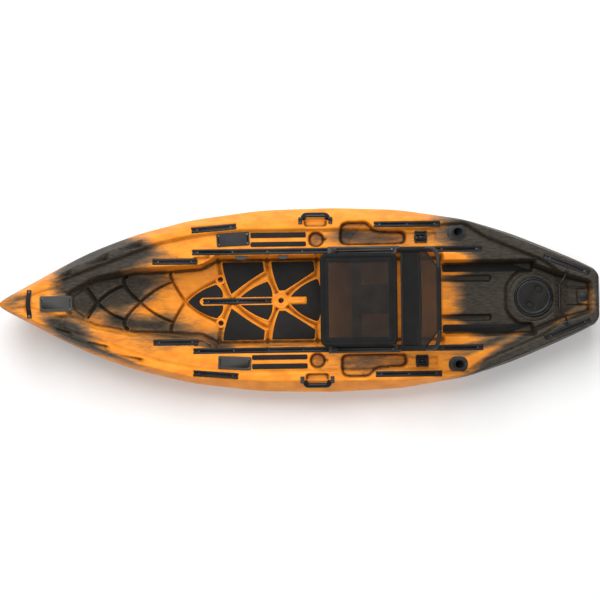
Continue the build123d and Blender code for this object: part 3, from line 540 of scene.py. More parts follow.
def deck_heights():
    """Height of the deck over the sample grid, with its moulded recesses."""
    z = np.repeat(edge_height(gx)[:, None], len(gy), 1)
    half = np.interp(gx, SIDE_DECK[:, 0], SIDE_DECK[:, 1])[:, None]
    floor = np.interp(gx, SIDE_DECK[:, 0], SIDE_DECK[:, 2])[:, None]
    on_side = (GA < half) & (GX > -1300) & (GX < 1506)
    on_side &= ~((GA < 62) & (GX < -1152))
    z = np.where(on_side, np.minimum(floor, z), z)
    for well in WELLS:
        top, bottom, base, rim = (np.interp(gx, well[:, 0], well[:, k])[:, None]
                                  for k in (1, 2, 3, 4))
        share = np.clip((GA - bottom) / (top - bottom), 0, 1)
        cut = base + (rim - base) * share
        use = (GX >= well[0, 0]) & (GX <= well[-1, 0]) & (GA < top)
        z = np.where(use, np.minimum(z, cut), z)
    # channels beside the hatch ledge run back from the tank floor
    z = np.where(inside([(1060, 136), (1060, 185), (1216, 168), (1216, 136)], True), TANK, z)
    # the hatch ledge ends in a round step towards the tank platform
    from_hatch = np.hypot(GX - HATCH[0], GY)
    corner = (GX > 1070) & (GX < HATCH[0]) & (GA < 188) & (from_hatch > 154)
    z = np.where(corner, np.minimum(z, TANK), z)
    z = blurred(z, 5.5)

    def sink(mask, depth, soft=2.6):
        return z - blurred(mask, soft) * depth

    def levelled(mask, level, soft):
        share = blurred(mask, soft)
        return z * (1 - share) + level * share

    # bow: raised six-sided cell, long facets beside the stem and gill steps in the edge
    hexagon = [(-1180, 0), (-1173, 33), (-1120, 74), (-1068, 4), (-1068, -4), (-1120, -74),
               (-1173, -33)]
    z = z + blurred(inside(hexagon), 3.0) * 9
    outline = off_path(hexagon, closed=True)
    z = sink(np.clip(1 - outline / 6, 0, 1), 11, 1.5)
    facet = inside([(-1480, 16), (-1235, 96), (-1225, 66), (-1400, 12)], True)
    z = sink(facet, 7, 4.0)
    run_out = 26.0
    for (ax, ay), (bx, by) in (((-1334, 104), (-1205, 142)), ((-1173, 184), (-1012, 218)),
                               ((-983, 262), (-837, 288))):
        slope = (by - ay) / (bx - ax)
        over = GA - (ay + slope * (GX - ax))
        run = np.clip((GX - ax) / (bx - ax), 0, 1)
        fade = run * np.clip((bx + run_out - GX) / run_out, 0, 1)
        step = ((over > 0) & (GX > ax) & (GX < bx + run_out)) * fade
        z = z - blurred(step, 1.8) * np.clip(1 - over / 60, 0, 1) * 30
    # turtle-shell grooves, narrow in the bare cells and wide between the pads
    grooves = well_grooves()
    bare = np.clip((-600 - GX) / 50, 0, 1)
    width = 7.5 * bare + 11.5 * (1 - bare)
    in_well = (GX > -1190) & (GX < 112) & (GA < 250)
    groove = np.clip((width - grooves) / 4.0, 0, 1) * in_well
    z = z - blurred(groove, 1.9) * (17.0 * bare + 11.0 * (1 - bare))
    bank = np.clip(1 - np.abs(grooves - width - 7) / 6.0, 0, 1) * in_well * bare
    z = z + blurred(bank, 2.2) * 4.0
    z = z - blurred(np.clip(1 - grooves / 4.5, 0, 1) * in_well, 1.3) * 10.0
    # low rims round the pads, and a flat bed under each
    pads = [outline_of(p) for p in CENTRE_PADS]
    pads += [outline_of(p, side) for side, _ in SIDES for p in SIDE_PADS]
    for pad in pads:
        box = ((GX > pad[:, 0].min() - 20) & (GX < pad[:, 0].max() + 20)
               & (GY > pad[:, 1].min() - 20) & (GY < pad[:, 1].max() + 20))
        distance = np.where(box, off_path(pad, closed=True), FAR)
        within = inside(pad) & box
        rim = np.clip(1 - np.abs(distance - 5.0) / 4.0, 0, 1) * ~within
        z = z + blurred(rim, 1.4) * 8.5
        z = np.where(within & (distance > 2.5), FLOOR - 0.6, z)
    # round hub and tongue on the centre line
    hub = np.hypot(GX + 100, GY)
    z = levelled(hub < 44, FLOOR + 8, 2.0)
    z = sink((hub > 27) & (hub < 33), 3.0, 1.2)
    z = sink(hub < 20, 4.0, 1.5)
    tongue = blurred((GX > -64) & (GX < 29) & (GA < 16), 1.8)
    z = np.where(tongue > 0.02, np.maximum(z, FLOOR - 1 + 11 * tongue), z)
    z = sink((GX > -40) & (GX < 10) & (GA < 5), 2.5, 1.4)
    # track beds
    for a, b in HALF_TRACKS:
        d = np.array(b, float) - np.array(a, float)
        length = np.linalg.norm(d)
        d /= length
        along = (GX - a[0]) * d[0] + (GA - a[1]) * d[1]
        across = np.abs((GX - a[0]) * -d[1] + (GA - a[1]) * d[0])
        z = sink((across < 13.0) & (along > 2) & (along < length - 2), 15, 1.5)
    z = sink((GX > -510) & (GX < -150) & (GA < 13), 15, 1.5)
    # wide lower steps behind the inner bow tracks, sweeping out to the long tracks
    curl = [(-552, 196), (-505, 203), (-470, 224), (-468, 240), (-500, 232), (-552, 229)]
    z = sink(inside(curl, True), 26, 4.0)
    # cups, pockets, clip channels and finger scoops
    cup = np.hypot(GX - 88, GA - 315)
    z = sink(cup < 40, 45)
    z = sink((cup >= 40) & (cup < 46), -2.5, 1.6)
    nib = inside([(122, 306), (142, 311), (142, 319), (122, 324)], True)
    z = sink(nib, 20, 2.0)
    pocket = rounded_path([(211, 285), (542, 285), (553, 300), (553, 352), (400, 357), (366, 388),
                           (350, 404), (236, 404), (211, 380)], 34, 8, closed=True)
    in_pocket = inside(pocket, True)
    z = sink(in_pocket, 62, 3.2)
    lip = np.where(near(180, 590, 250, 430), off_path(pocket, True, True), FAR)
    z = sink(np.clip(1 - np.abs(lip - 5) / 4, 0, 1) * ~in_pocket, -2.5, 1.2)
    crease = off_segment((262, 300), (330, 396), True)
    z = sink(np.clip(1 - crease / 5, 0, 1) * in_pocket, 4, 1.5)
    z = sink(near(552, 712, 302, 344), 10, 2.4)
    z = sink(near(660, 700, 308, 338), 3, 2.4)
    z = sink(inside(rounded_box(26, 144, 382, 500, 18, 6), True), 34, 2.6)
    # ribs of the tank platform, and the raised block round the drain
    z = sink(inside(rounded_box(736, 1004, 88, 120, 15, 6), True), 21, 2.0)
    z = sink((GX > 1385) & (GX < 1512) & (np.abs(GA - 46) < 4.5), 7, 1.8)
    z = levelled((GX > 1446) & (GX < 1498) & (GA < 40), DRAIN_SEAT, 2.4)
    ledge = (from_hatch > 122) & (from_hatch < 130)
    z = sink(ledge & (GX > 1085) & (GX < 1330) & (GA < 150), 3.5, 1.8)
    # shallow foot braces pressed into the long side ledges of the well
    for x in (-620, -560):
        rib = off_segment((x, 196), (x - 26, 236), True)
        z = sink(np.clip(1 - rib / 6, 0, 1), 3.5, 1.6)
    return z


Z = deck_heights()
# painted shade: how far each sample lies below its blurred surroundings, so hollows, grooves and
# the feet of walls are painted darker; the next line paints a strong band of shade along the
# channels beside the tank platform
PAINTED_SHADE_GRID = np.clip((blurred(Z, 9.0) - Z - 1.4) / 8.0, 0, 1)
PAINTED_SHADE_GRID = np.maximum(PAINTED_SHADE_GRID, blurred(near(750, 985, 95, 113), 7.0) * 0.95)


def height(x, y, grid=Z):
    """A sample grid's value at any points, read between the samples."""
    u = np.clip((np.asarray(x, float) - gx[0]) / CELL, 0, len(gx) - 1.001)
    v = np.clip((np.asarray(y, float) - gy[0]) / CELL, 0, len(gy) - 1.001)
    i, j = u.astype(int), v.astype(int)
    s, t = u - i, v - j
    return ((grid[i, j] * (1 - s) + grid[i + 1, j] * s) * (1 - t)
            + (grid[i, j + 1] * (1 - s) + grid[i + 1, j + 1] * s) * t)


def corner_rows(points, radii, counts):
    """Rows along a section polyline, each row an array over all stations (n, 2)."""
    rows = []
    for i in range(1, len(points) - 1):
        before, corner, after = points[i - 1], points[i], points[i + 1]
        da, db = before - corner, after - corner
        la = np.linalg.norm(da, axis=1)[:, None]
        lb = np.linalg.norm(db, axis=1)[:, None]
        start = corner + da * np.minimum(radii[i - 1] / la, 0.42)
        end = corner + db * np.minimum(radii[i - 1] / lb, 0.42)
        for t in np.linspace(0, 1, 6):
            rows.append((1 - t) ** 2 * start + 2 * t * (1 - t) * corner + t ** 2 * end)
        last = after
        at_end = i + 2 == len(points)
        if not at_end:
            back = corner - after
            last = after + back * np.minimum(radii[i] / lb, 0.42)
        steps = counts[i - 1]
        for k in range(1, steps + at_end):
            t = k / steps
            rows.append(end * (1 - t) + last * t)
    return rows


# Soft patches of charcoal, and of orange within it, with painted shade on the bow tip: x, y,
# reach along, reach across, turn in degrees, strength
CHARCOAL_AND_SHADE = [
    (-1120, 150, 110, 62, 26, 1.0), (-1000, 236, 120, 46, 22, 1.05),
    (-900, 262, 90, 34, 20, 0.75), (-880, 230, 130, 36, 14, 0.55), (-760, 236, 120, 34, 4, 0.30),
    (-1060, 60, 120, 60, 8, 0.95), (-900, 96, 110, 46, 8, 0.75), (-900, 20, 90, 44, 0, 0.55),
    (-760, 110, 90, 44, 6, 0.42), (-1120, -10, 50, 60, 0, 0.85), (-960, 20, 80, 50, 0, 0.30),
    (870, 104, 120, 13, 0, 0.9), (870, -104, 120, 13, 0, 0.9), (-700, -60, 60, 60, 0, 0.22),
    (-1200, -138, 62, 40, -28, 1.0), (-1270, -100, 60, 24, -28, 0.7),
    (-1100, -190, 60, 40, -24, 0.5), (-1000, -262, 150, 14, -22, 0.75),
    (-880, -110, 100, 30, -6, 0.62), (-960, -80, 60, 30, -6, 0.5),
    (-720, -118, 120, 40, -2, 0.50), (-620, -170, 120, 30, 0, 0.40),
    (-830, -210, 120, 28, -12, 0.34), (-450, -196, 60, 40, 0, 0.42),
    (-180, -230, 300, 18, 0, 0.42), (340, -330, 150, 46, 0, 0.66), (-480, 190, 50, 50, 0, 0.30),
    # painted shade: the spot at x -1490 on the centre line darkens the bow tip's facets
    (-1420, 40, 50, 14, 14, 0.34), (-1040, 292, 90, 30, 20, 0.85), (-1490, 0, 60, 60, 0, 0.58),
    (-600, -196, 90, 20, 0, 0.4), (-420, -240, 60, 14, 0, 0.35), (-1180, 190, 70, 24, 22, 0.45),
    (330, 322, 150, 34, 0, 0.72), (250, 350, 50, 30, 0, 0.45), (600, 322, 100, 34, 0, 0.25),
    (800, 300, 100, 40, 0, 0.35), (700, -250, 130, 60, 0, 0.30), (90, 318, 30, 30, 0, 0.34),
    (90, -318, 30, 30, 0, 0.30), (-420, 366, 90, 14, 0, 0.18),
]
LIGHTER = [
    (1090, -215, 180, 16, 26, 0.62), (960, -292, 120, 16, 20, 0.46), (1500, -10, 26, 90, 0, 0.62),
    (1395, -95, 60, 16, 30, 0.62), (1320, -150, 90, 10, 26, 0.35), (800, 120, 70, 14, 0, 0.5),
    (800, 0, 50, 70, 0, 0.42), (790, -120, 70, 14, 0, 0.5), (820, 205, 70, 20, 0, 0.5),
    (820, -200, 80, 20, 0, 0.5), (1000, -205, 110, 8, 6, 0.45), (860, -350, 60, 30, 10, 0.5),
]


def spot(x, y, row):
    cx, cy, rx, ry, turn, amount = row
    c, s = math.cos(math.radians(turn)), math.sin(math.radians(turn))
    u, v = (x - cx) * c + (y - cy) * s, -(x - cx) * s + (y - cy) * c
    return amount * np.exp(-0.5 * ((u / rx) ** 2 + (v / ry) ** 2))


def camo_and_shade_amount(x, y):
    """How strongly the charcoal, and the painted shade on the bow tip, take over from the orange.
    """
    total = np.zeros_like(x)
    for row in CHARCOAL_AND_SHADE:
        total += spot(x, y, row)
    stern = np.clip((x - 660 + 0.10 * y + 50 * np.cos(y / 70)) / 350, 0, 1)
    total += 1.34 * stern * stern * (3 - 2 * stern)
    for row in LIGHTER:
        total -= spot(x, y, row)
    return np.clip(total, 0.0, 1.4)


def hull_shell():
    """The whole hull skin: deck from the height grid, sides and bottom from the stations."""
    xs = np.concatenate([np.linspace(-1550, -1530, 7), np.arange(-1526, 1530, 4.0),
                         np.linspace(1530, 1550, 8)])
    raw = np.arange(-1550, 1551, 5.0)

    def line(column, sigma):
        values = np.interp(raw, STATIONS[:, 0], STATIONS[:, column])
        ends = np.clip(np.minimum(raw + 1550, 1550 - raw) / 60, 0, 1)
        return np.interp(xs, raw, values * (1 - ends) + soften(values, sigma / 5) * ends)

    beam, edge, keel = line(1, 45), line(2, 30), line(4, 35)
    rim = np.interp(xs, raw, soften(edge_height(raw), 3))
    # gill steps: short runs where the edge steps in towards the bow
    for a, b, depth in ((-1334, -1217, 7), (-1173, -1012, 8), (-983, -837, 6)):
        t = np.clip((xs - a) / (b - a), 0, 1)
        edge = edge - depth * np.sin(math.pi * t) ** 2 * (t > 0) * (t < 1)
    round_in = np.minimum(12.0, 0.3 * edge)
    count_t = 225
    t = np.linspace(-1, 1, count_t)
    deck_y = (edge - round_in)[:, None] * t[None, :]
    deck_z = height(np.repeat(xs[:, None], count_t, 1), deck_y)
    lip_z = deck_z[:, -1]
    scooped = np.minimum(rim, lip_z + 6)
    depth = rim - keel
    beam_z = keel + 0.62 * depth
    n = len(xs)
    points = [np.stack(p, 1) for p in (
        (edge - round_in, lip_z), (edge, scooped), (beam, beam_z),
        (0.90 * beam, keel + 0.25 * 0.62 * depth), (0.45 * beam, keel), (np.zeros(n), keel))]
    rows = corner_rows(points, (12, 34, 40, 60), (8, 7, 6, 18))
    side = np.stack(rows, 1)
    ring_y = np.concatenate([deck_y, side[:, 1:, 0], -side[:, -2:0:-1, 0]], 1)
    ring_z = np.concatenate([deck_z, side[:, 1:, 1], side[:, -2:0:-1, 1]], 1)
    # soften both ends into the stem and the transom
    reach = np.where(xs < 0, np.clip((-1530 - xs) / 20, 0, 1), np.clip((xs - 1530) / 20, 0, 1))
    pull = 1 - np.sqrt(np.clip(1 - reach ** 2, 0, 1))
    middle = (rim + keel) / 2
    inset = np.where(xs < 0, 6.0, 13.0)
    ring_y = ring_y * (1 - (pull * inset / np.maximum(beam, 14))[:, None])
    ring_z = middle[:, None] + ((ring_z - middle[:, None])
                                * (1 - (pull * inset / (depth / 2))[:, None]))
    m = ring_y.shape[1]
    verts = np.stack([np.repeat(xs[:, None], m, 1), ring_y, ring_z], 2).reshape(-1, 3)
    i, j = np.meshgrid(np.arange(n - 1), np.arange(m), indexing="ij")
    nxt = (j + 1) % m
    quads = np.stack([i * m + j, (i + 1) * m + j, (i + 1) * m + nxt, i * m + nxt], 2).reshape(-1, 4)
    centre = verts[quads].mean(1)
    keep = np.ones(len(quads), bool)
    deck_face = (j < count_t - 1).reshape(-1)
    for (x, y), radius, both in ([(s, 17, True) for s in SCUPPERS] + [(r, 29, False) for r in RODS]
                                 + [(HATCH, 88, False), (DRAIN, 17, False)]):
        hit = np.hypot(centre[:, 0] - x, centre[:, 1] - y) < radius
        keep &= ~(hit & (deck_face if not both else (deck_face | (centre[:, 2] < 60))))
    faces = [tuple(f) for f in quads[keep].tolist()]
    verts = verts.tolist()
    for ring, forward in ((0, False), (n - 1, True)):
        base = [ring * m + k for k in range(m)]
        hub = np.mean([verts[k] for k in base], 0)
        for share in (0.86, 0.6, 0.3):
            new = len(verts)
            first = np.array([verts[ring * m + k] for k in range(m)])
            verts.extend((hub + (first - hub) * share).tolist())
            for k in range(m):
                a, b = base[k], base[(k + 1) % m]
                c, d = new + (k + 1) % m, new + k
                faces.append((a, b, c, d) if not forward else (d, c, b, a))
            base = [new + k for k in range(m)]
        verts.append(hub.tolist())
        tip = len(verts) - 1
        for k in range(m):
            a, b = base[k], base[(k + 1) % m]
            faces.append((a, b, tip) if not forward else (b, a, tip))
    obj = piece("hull_shell", verts, faces, HULL, "boat", "hull", replaces=["hull"])
    array = np.array(verts)
    x, y, z = array.T
    on_deck = np.abs(z - height(x, y)) < 3.0
    # the second attribute holds the painted shade of the deck's hollows; the first holds the
    # charcoal marbling and the painted shade on the bow tip
    for name, values in (("camo_and_shade", camo_and_shade_amount(x, y)),
                         ("painted_shade", height(x, y, PAINTED_SHADE_GRID) * on_deck)):
        attribute = obj.data.attributes.new(name, "FLOAT", "POINT")
        attribute.data.foreach_set("value", values.astype(np.float32))
    return obj


hull_shell()


def paint(obj):
    """Gives a small moulded piece the hull's colour where it stands."""
    x, y, _ = (np.array([v.co for v in obj.data.vertices], float) / MM).T
    attribute = obj.data.attributes.new("camo_and_shade", "FLOAT", "POINT")
    attribute.data.foreach_set("value", camo_and_shade_amount(x, y).astype(np.float32))


def scupper_liners():
    for k, (x, y) in enumerate(SCUPPERS):
        top = float(np.max(height([x + 20, x - 20], [y, y])))
        profile = [(38, 0.4), (36, -0.6), (17, -0.2), (13.5, 3), (13.5, top - 4), (15, top - 1),
                   (19, top + 0.6), (24, top + 0.4), (27, top - 3)]
        obj = piece(f"scupper_liner_{k + 1}", *turned(profile, (x, y), 48), HULL, "boat", "hull")
        paint(obj)


scupper_liners()


# ---- soft floor pads and strips --------------------------------------------
def pad_piece(name, outlines, low, high, replaced):
    parts = [slab(o, low, high, 1.4) for o in outlines]
    obj = piece(name, *joined(*parts), FOAM, "boat", "deck_pad", replaces=replaced)
    shade_by_angle(obj, 40)


PAD = 4.0                 # thickness of every pad and strip
pad_piece("centre_floor_pads", [outline_of(p) for p in CENTRE_PADS], FLOOR, FLOOR + PAD,
          ["centre_deck_pads"])
for side, word in SIDES:
    pad_piece(f"{word}_floor_pads", [outline_of(p, side) for p in SIDE_PADS], FLOOR, FLOOR + PAD,
              [f"{word}_deck_pads"])
    strips = []
    for y, width in ((341, 27), (294, 25)):
        low, high = side * (y - width / 2), side * (y + width / 2)
        strips.append(rounded_box(-254, 35, low, high, 8, 5))
    pad_piece(f"{word}_ledge_strips", strips, LEDGE, LEDGE + PAD, [f"{word}_deck_strips"])
    tank = [(748, side * 138), (748, side * 179), (1110, side * 176), (1204, side * 146),
            (1204, side * 138)]
    tank = rounded_path(tank, 14, 6, closed=True)
    pad_piece(f"{word}_tank_pad", [tank], TANK, TANK + PAD, [f"{word}_tank_strip"])


# ---- seat -------------------------------------------------------------------
SEAT_X0, SEAT_X1, SEAT_HALF, BACK_HALF, TUBE_R, TUBE_Z = 106.0, 503.0, 240.0, 264.0, 11.0, 334.0
BACK_RAIL = 430.0         # centre of the backrest's top rail, up from the hinge
STRAP_Z = 327.5           # webbing under the pan
PIVOT = np.array([515.0, 0.0, 372.0])
LEAN = math.radians(25)
BACK_UP = np.array([math.sin(LEAN), 0, math.cos(LEAN)])
BACK_OUT = np.array([math.cos(LEAN), 0, -math.sin(LEAN)])


def on_back(y, along, out=0.0):
    """A point on the leaning backrest, from the middle of its hinge line."""
    return PIVOT + np.array([0, y, 0]) + BACK_UP * along + BACK_OUT * out


def back_belly(u, v):
    """How far the backrest's cloth bows towards the rear."""
    return 9.0 * math.sin(math.pi * (v - 20) / 400) * math.cos(math.pi * u / 2 / 246)


def seat_loop():
    """Centre line of the tube round the seat base."""
    x0, x1, y = SEAT_X0 + TUBE_R, SEAT_X1 - TUBE_R, SEAT_HALF - TUBE_R
    return rounded_path([(x0, -y, TUBE_Z), (x1, -y, TUBE_Z), (x1, y, TUBE_Z), (x0, y, TUBE_Z)],
                        24, 7, closed=True)


def seat_base():
    parts = [swept(seat_loop(), circle(TUBE_R), closed=True)]
    for side in (1, -1):
        outline = rounded_path([(472, 324), (528, 324), (528, 385), (502, 385), (502, 344),
                                (472, 344)], 12, 6, closed=True)
        verts, faces = slab(outline, 234.2, 240.4, 1.2)
        verts = [(x, side * z, y) for x, y, z in verts]
        if side > 0:
            faces = [tuple(reversed(f)) for f in faces]
        parts.append((verts, faces))
        parts.append(swept([(270, side * 229, 326), (318, side * 229, 326)], flat_strap(24, 6)))
    obj = piece("seat_tube_base", *joined(*parts), TUBE_PAINT, "seat", "seat_tube",
                replaces=["seat_frame"])
    shade_by_angle(obj, 40)


def back_tubes():
    y = BACK_HALF - TUBE_R
    corners = [on_back(-y, -12), on_back(-y, BACK_RAIL), on_back(y, BACK_RAIL), on_back(y, -12)]
    path = rounded_path(corners, 92, 12)
    low = [on_back(s * (y - 5), 27) for s in (-1, 1)]
    parts = [swept_frame(path, circle(TUBE_R)), swept(low, circle(7, 12))]
    obj = piece("backrest_tube", *joined(*parts), TUBE_PAINT, "backrest", "seat_tube",
                replaces=["backrest_frame"])
    shade_by_angle(obj, 40)


def swept_frame(path, profile):
    """A tube whose path lies in the backrest plane; its profile is set on that plane."""
    path = np.asarray(path, float)
    ahead = np.gradient(path, axis=0)
    ahead /= np.linalg.norm(ahead, axis=1)[:, None]
    sides, verts, faces = len(profile), [], []
    for p, d in zip(path, ahead):
        across = np.cross(BACK_OUT, d)
        verts.extend(p + across * u + BACK_OUT * v for u, v in profile)
    for i in range(len(path) - 1):
        for j in range(sides):
            a, b = i * sides + j, i * sides + (j + 1) % sides
            faces.append((a, a + sides, b + sides, b))
    faces.append(tuple(range(sides)))
    faces.append(tuple(reversed(range(len(verts) - sides, len(verts)))))
    return verts, faces


def sheet_grid(point, us, vs, keep=lambda u, v: True):
    """A grid of points with only the cells whose middle is kept."""
    verts = [point(u, v) for u in us for v in vs]
    m, faces = len(vs), []
    for i in range(len(us) - 1):
        for j in range(m - 1):
            if keep((us[i] + us[i + 1]) / 2, (vs[j] + vs[j + 1]) / 2):
                faces.append((i * m + j, (i + 1) * m + j, (i + 1) * m + j + 1, i * m + j + 1))
    used = sorted({k for f in faces for k in f})
    index = {k: n for n, k in enumerate(used)}
    return [verts[k] for k in used], [tuple(index[k] for k in f) for f in faces]


def stitches(name, lines, body, pitch=7.0):
    """Rows of short raised thread along sewn lines; each line is a list of points."""
    parts = []
    for line in lines:
        line = np.asarray(line, float)
        step = np.linalg.norm(np.diff(line, axis=0), axis=1)
        reach = np.concatenate([[0], np.cumsum(step)])
        for start in np.arange(2, reach[-1] - 5, pitch):
            ends = [np.array([np.interp(start + d, reach, line[:, k]) for k in range(3)])
                    for d in (0, 4.2)]
            parts.append(swept_frame(ends, circle(0.7, 6)))
    piece(name, *joined(*parts), THREAD, body, "seat_fabric")


def seat_cloth():
    """Mesh pan and back, hems, lumbar panel and the webbing under the pan."""
    x0, x1, half = SEAT_X0 + 20, SEAT_X1 - 20, SEAT_HALF - 20

    def pan(u, v):
        sag = 5.0 * math.sin(math.pi * (u - x0) / (x1 - x0)) * math.cos(math.pi * v / 2 / half)
        return (u, v, 338.0 - sag)

    grid = sheet_grid(pan, np.linspace(x0, x1, 48), np.linspace(-half, half, 56))
    cloth = piece("seat_pan_mesh", *grid, MESH, "seat", "seat_mesh", replaces=["seat_pan"])
    hems = []
    for y in (-half + 12, half - 12):
        hems.append(swept([(u, y, pan(u, y)[2] + 0.8) for u in np.linspace(x0, x1, 30)],
                          flat_strap(30, 3)))
    for x in (x0 + 10, x1 - 12):
        hems.append(swept([(x, v, pan(x, v)[2] + 0.8) for v in np.linspace(-half, half, 30)],
                          flat_strap(26, 3)))
    # sleeves of the same cloth sewn round the four tubes
    sleeve = circle(TUBE_R + 1.3, 20)
    hems.append(swept(seat_loop(), sleeve, closed=True))
    hem = piece("seat_pan_hems", *joined(*hems), CLOTH, "seat", "seat_fabric")
    bands = [swept([(294, v, STRAP_Z) for v in np.linspace(-226, 226, 24)], flat_strap(48, 3)),
             swept([(u, 0, STRAP_Z) for u in np.linspace(316, 484, 16)], flat_strap(150, 3))]
    piece("seat_straps", *joined(*bands), WEBBING, "seat", "webbing", replaces=["seat_webbing"])
    top, low = 422.0, 196.0

    def back(u, v):
        return on_back(u, v, back_belly(u, v))

    def inside_corner(u, v):
        return abs(u) < 243 - max(0.0, v - 284) * 0.62

    grid = sheet_grid(back, np.linspace(-244, 244, 72), np.linspace(low, top, 40), inside_corner)
    mesh_back = piece("backrest_mesh_cloth", *grid, BACK_MESH, "backrest", "seat_mesh",
                      replaces=["backrest_mesh"])
    edges = []
    for a, b in (((-243, 284), (-158, 421)), ((243, 284), (158, 421))):
        line = [back(a[0] + (b[0] - a[0]) * t, a[1] + (b[1] - a[1]) * t)
                for t in np.linspace(0, 1, 12)]
        edges.append(swept_frame(line, circle(3.6, 10)))
    line = [back(u, 216) - BACK_OUT * 2 for u in np.linspace(-243, 243, 44)]
    edges.append(swept_frame(line, [(10, -1.5), (10, 1.5), (-10, 1.5), (-10, -1.5)]))
    # the cloth is sewn round both legs and the top rail, clear of the open corners
    y = BACK_HALF - TUBE_R
    for side in (1, -1):
        edges.append(swept_frame([on_back(side * y, v) for v in np.linspace(34, 290, 16)], sleeve))
    edges.append(swept_frame([on_back(u, BACK_RAIL) for u in np.linspace(-156, 156, 16)], sleeve))
    hem_back = piece("backrest_hems", *joined(*edges), CLOTH, "backrest", "seat_fabric")
    shade_by_angle(hem_back, 40)
    rows = []
    for v in (207, 225):
        rows.append([back(u, v) - BACK_OUT * 4.2 for u in np.linspace(-236, 236, 60)])
    stitches("backrest_stitches", rows, "backrest")
    rows = []
    for y in (half - 26, 26 - half):
        rows.append([(u, y, pan(u, y)[2] + 2.4) for u in np.linspace(x0 + 6, x1 - 6, 40)])
    for x in (x0 + 22, x1 - 24):
        rows.append([(x, v, pan(x, v)[2] + 2.4) for v in np.linspace(6 - half, half - 6, 40)])
    stitches("seat_pan_stitches", rows, "seat")
    lumbar()


def lumbar():
    """Stuffed lower panel of the backrest: crowned, with two sewn channels."""
    us, vs = np.linspace(-242, 242, 80), np.linspace(30, 204, 38)
    front, rear = [], []
    for u in us:
        for v in vs:
            shape = (1 - (abs(u) / 242) ** 6) * (1 - abs((v - 117) / 87) ** 6)
            seam = sum(math.exp(-((v - s) / 3.0) ** 2) for s in (74, 160))
            seam += math.exp(-((abs(u) - 218) / 3.0) ** 2)
            crown = 6.5 * max(shape, 0.0) ** 0.5 * (1 - 0.6 * min(seam, 1))
            belly = back_belly(u, v)
            front.append(on_back(u, v, belly - crown - 1.0))
            rear.append(on_back(u, v, belly + crown * 0.6 + 1.0))
    n, m = len(us), len(vs)
    base = n * m
    faces = []
    for i in range(n - 1):
        for j in range(m - 1):
            a = i * m + j
            faces.append((a + m, a, a + 1, a + m + 1))
            faces.append((base + a, base + a + m, base + a + m + 1, base + a + 1))
    rim = ([i * m for i in range(n)] + [(n - 1) * m + j for j in range(1, m)]
           + [i * m + m - 1 for i in range(n - 2, -1, -1)] + [j for j in range(m - 2, 0, -1)])
    for a, b in zip(rim, rim[1:] + rim[:1]):
        faces.append((a, b, base + b, base + a))
    obj = piece("lumbar_cushion", front + rear, faces, CLOTH, "backrest", "seat_fabric",
                replaces=["lumbar_panel"])


seat_base()
back_tubes()
seat_cloth()


# ---- handles ----------------------------------------------------------------
def bow_strap():
    low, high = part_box("bow_handle")
    low, high = np.array(low) / MM, np.array(high) / MM
    x = (low[0] + high[0]) / 2
    foot = low[2] + 3
    path = [(x, -73, foot), (x, -54, foot), (x - 3, -32, foot + 15), (x - 5, 0, foot + 19),
            (x - 3, 32, foot + 15), (x, 54, foot), (x, 73, foot)]
    obj = piece("bow_strap_handle", *swept(rounded_path(path, 22, 6), flat_strap(24, 4.2)),
                WEBBING, "boat", "webbing", replaces=["bow_handle"])
    shade_by_angle(obj, 60)


def stern_bail():
    """Bent rod of the stern handle with a ribbed grip."""
    slope = math.atan2(322 - 303, 150)
    hinge = np.array([1380 - math.sin(slope) * 10, 0, 303 + 50 / 150 * 19 + math.cos(slope) * 10])
    back = np.array([math.cos(slope), 0, math.sin(slope)])
    flat = [(0, -146), (0, -106), (-34, -70), (-34, 70), (0, 106), (0, 146)]
    path = rounded_path([hinge + back * u + np.array([0, v, 0]) for u, v in flat], 26, 8)
    parts = [swept(path, circle(5.5, 16))]
    rings, sides = 41, 16
    grip = [hinge + back * -34 + np.array([0, v, 0]) for v in np.linspace(-66, 66, rings)]
    verts, faces = [], []
    for k, p in enumerate(grip):
        swell = 8.4 + 0.7 * math.cos(k * math.pi / 2) if 0 < k < rings - 1 else 5.6
        verts.extend(p + np.array([0, 0, 1]) * b + back * a for a, b in circle(swell, sides))
    for i in range(rings - 1):
        for j in range(sides):
            a, b = i * sides + j, i * sides + (j + 1) % sides
            faces.append((a, a + sides, b + sides, b))
    parts.append((verts, faces))
    obj = piece("stern_bail", *joined(*parts), GLOSS, "stern_handle_body", "moulded_black",
                replaces=["stern_handle"])
    shade_by_angle(obj, 50)


def side_handles():
    """Moulded trapezoid grips on their hinge pins."""
    drop = math.radians(40)
    for side, word in SIDES:
        hinge = np.array([85.0, side * 424.0, 298.0])
        out = np.array([0, side * math.cos(drop), -math.sin(drop)])
        rise = np.array([0, side * math.sin(drop), math.cos(drop)])
        flat = [(-65, -3), (-62, 10), (-54, 25), (54, 25), (62, 10), (65, -3)]
        path = rounded_path([(u, v, 0) for u, v in flat], 14, 6)
        section = [(13.5 * math.copysign(abs(math.cos(t)) ** 0.6, math.cos(t)),
                    8.5 * math.copysign(abs(math.sin(t)) ** 0.6, math.sin(t)))
                   for t in np.linspace(0, 2 * math.pi, 20, endpoint=False)]
        verts, faces = swept(path, section)
        verts = [hinge + np.array([u, 0, 0]) + out * v + rise * w for u, v, w in verts]
        if side > 0:
            faces = [tuple(reversed(f)) for f in faces]
        obj = piece(f"{word}_handle_grip", verts, faces, GLOSS, f"{word}_handle_body",
                    "moulded_black", replaces=[f"{word}_handle"])
        shade_by_angle(obj, 50)


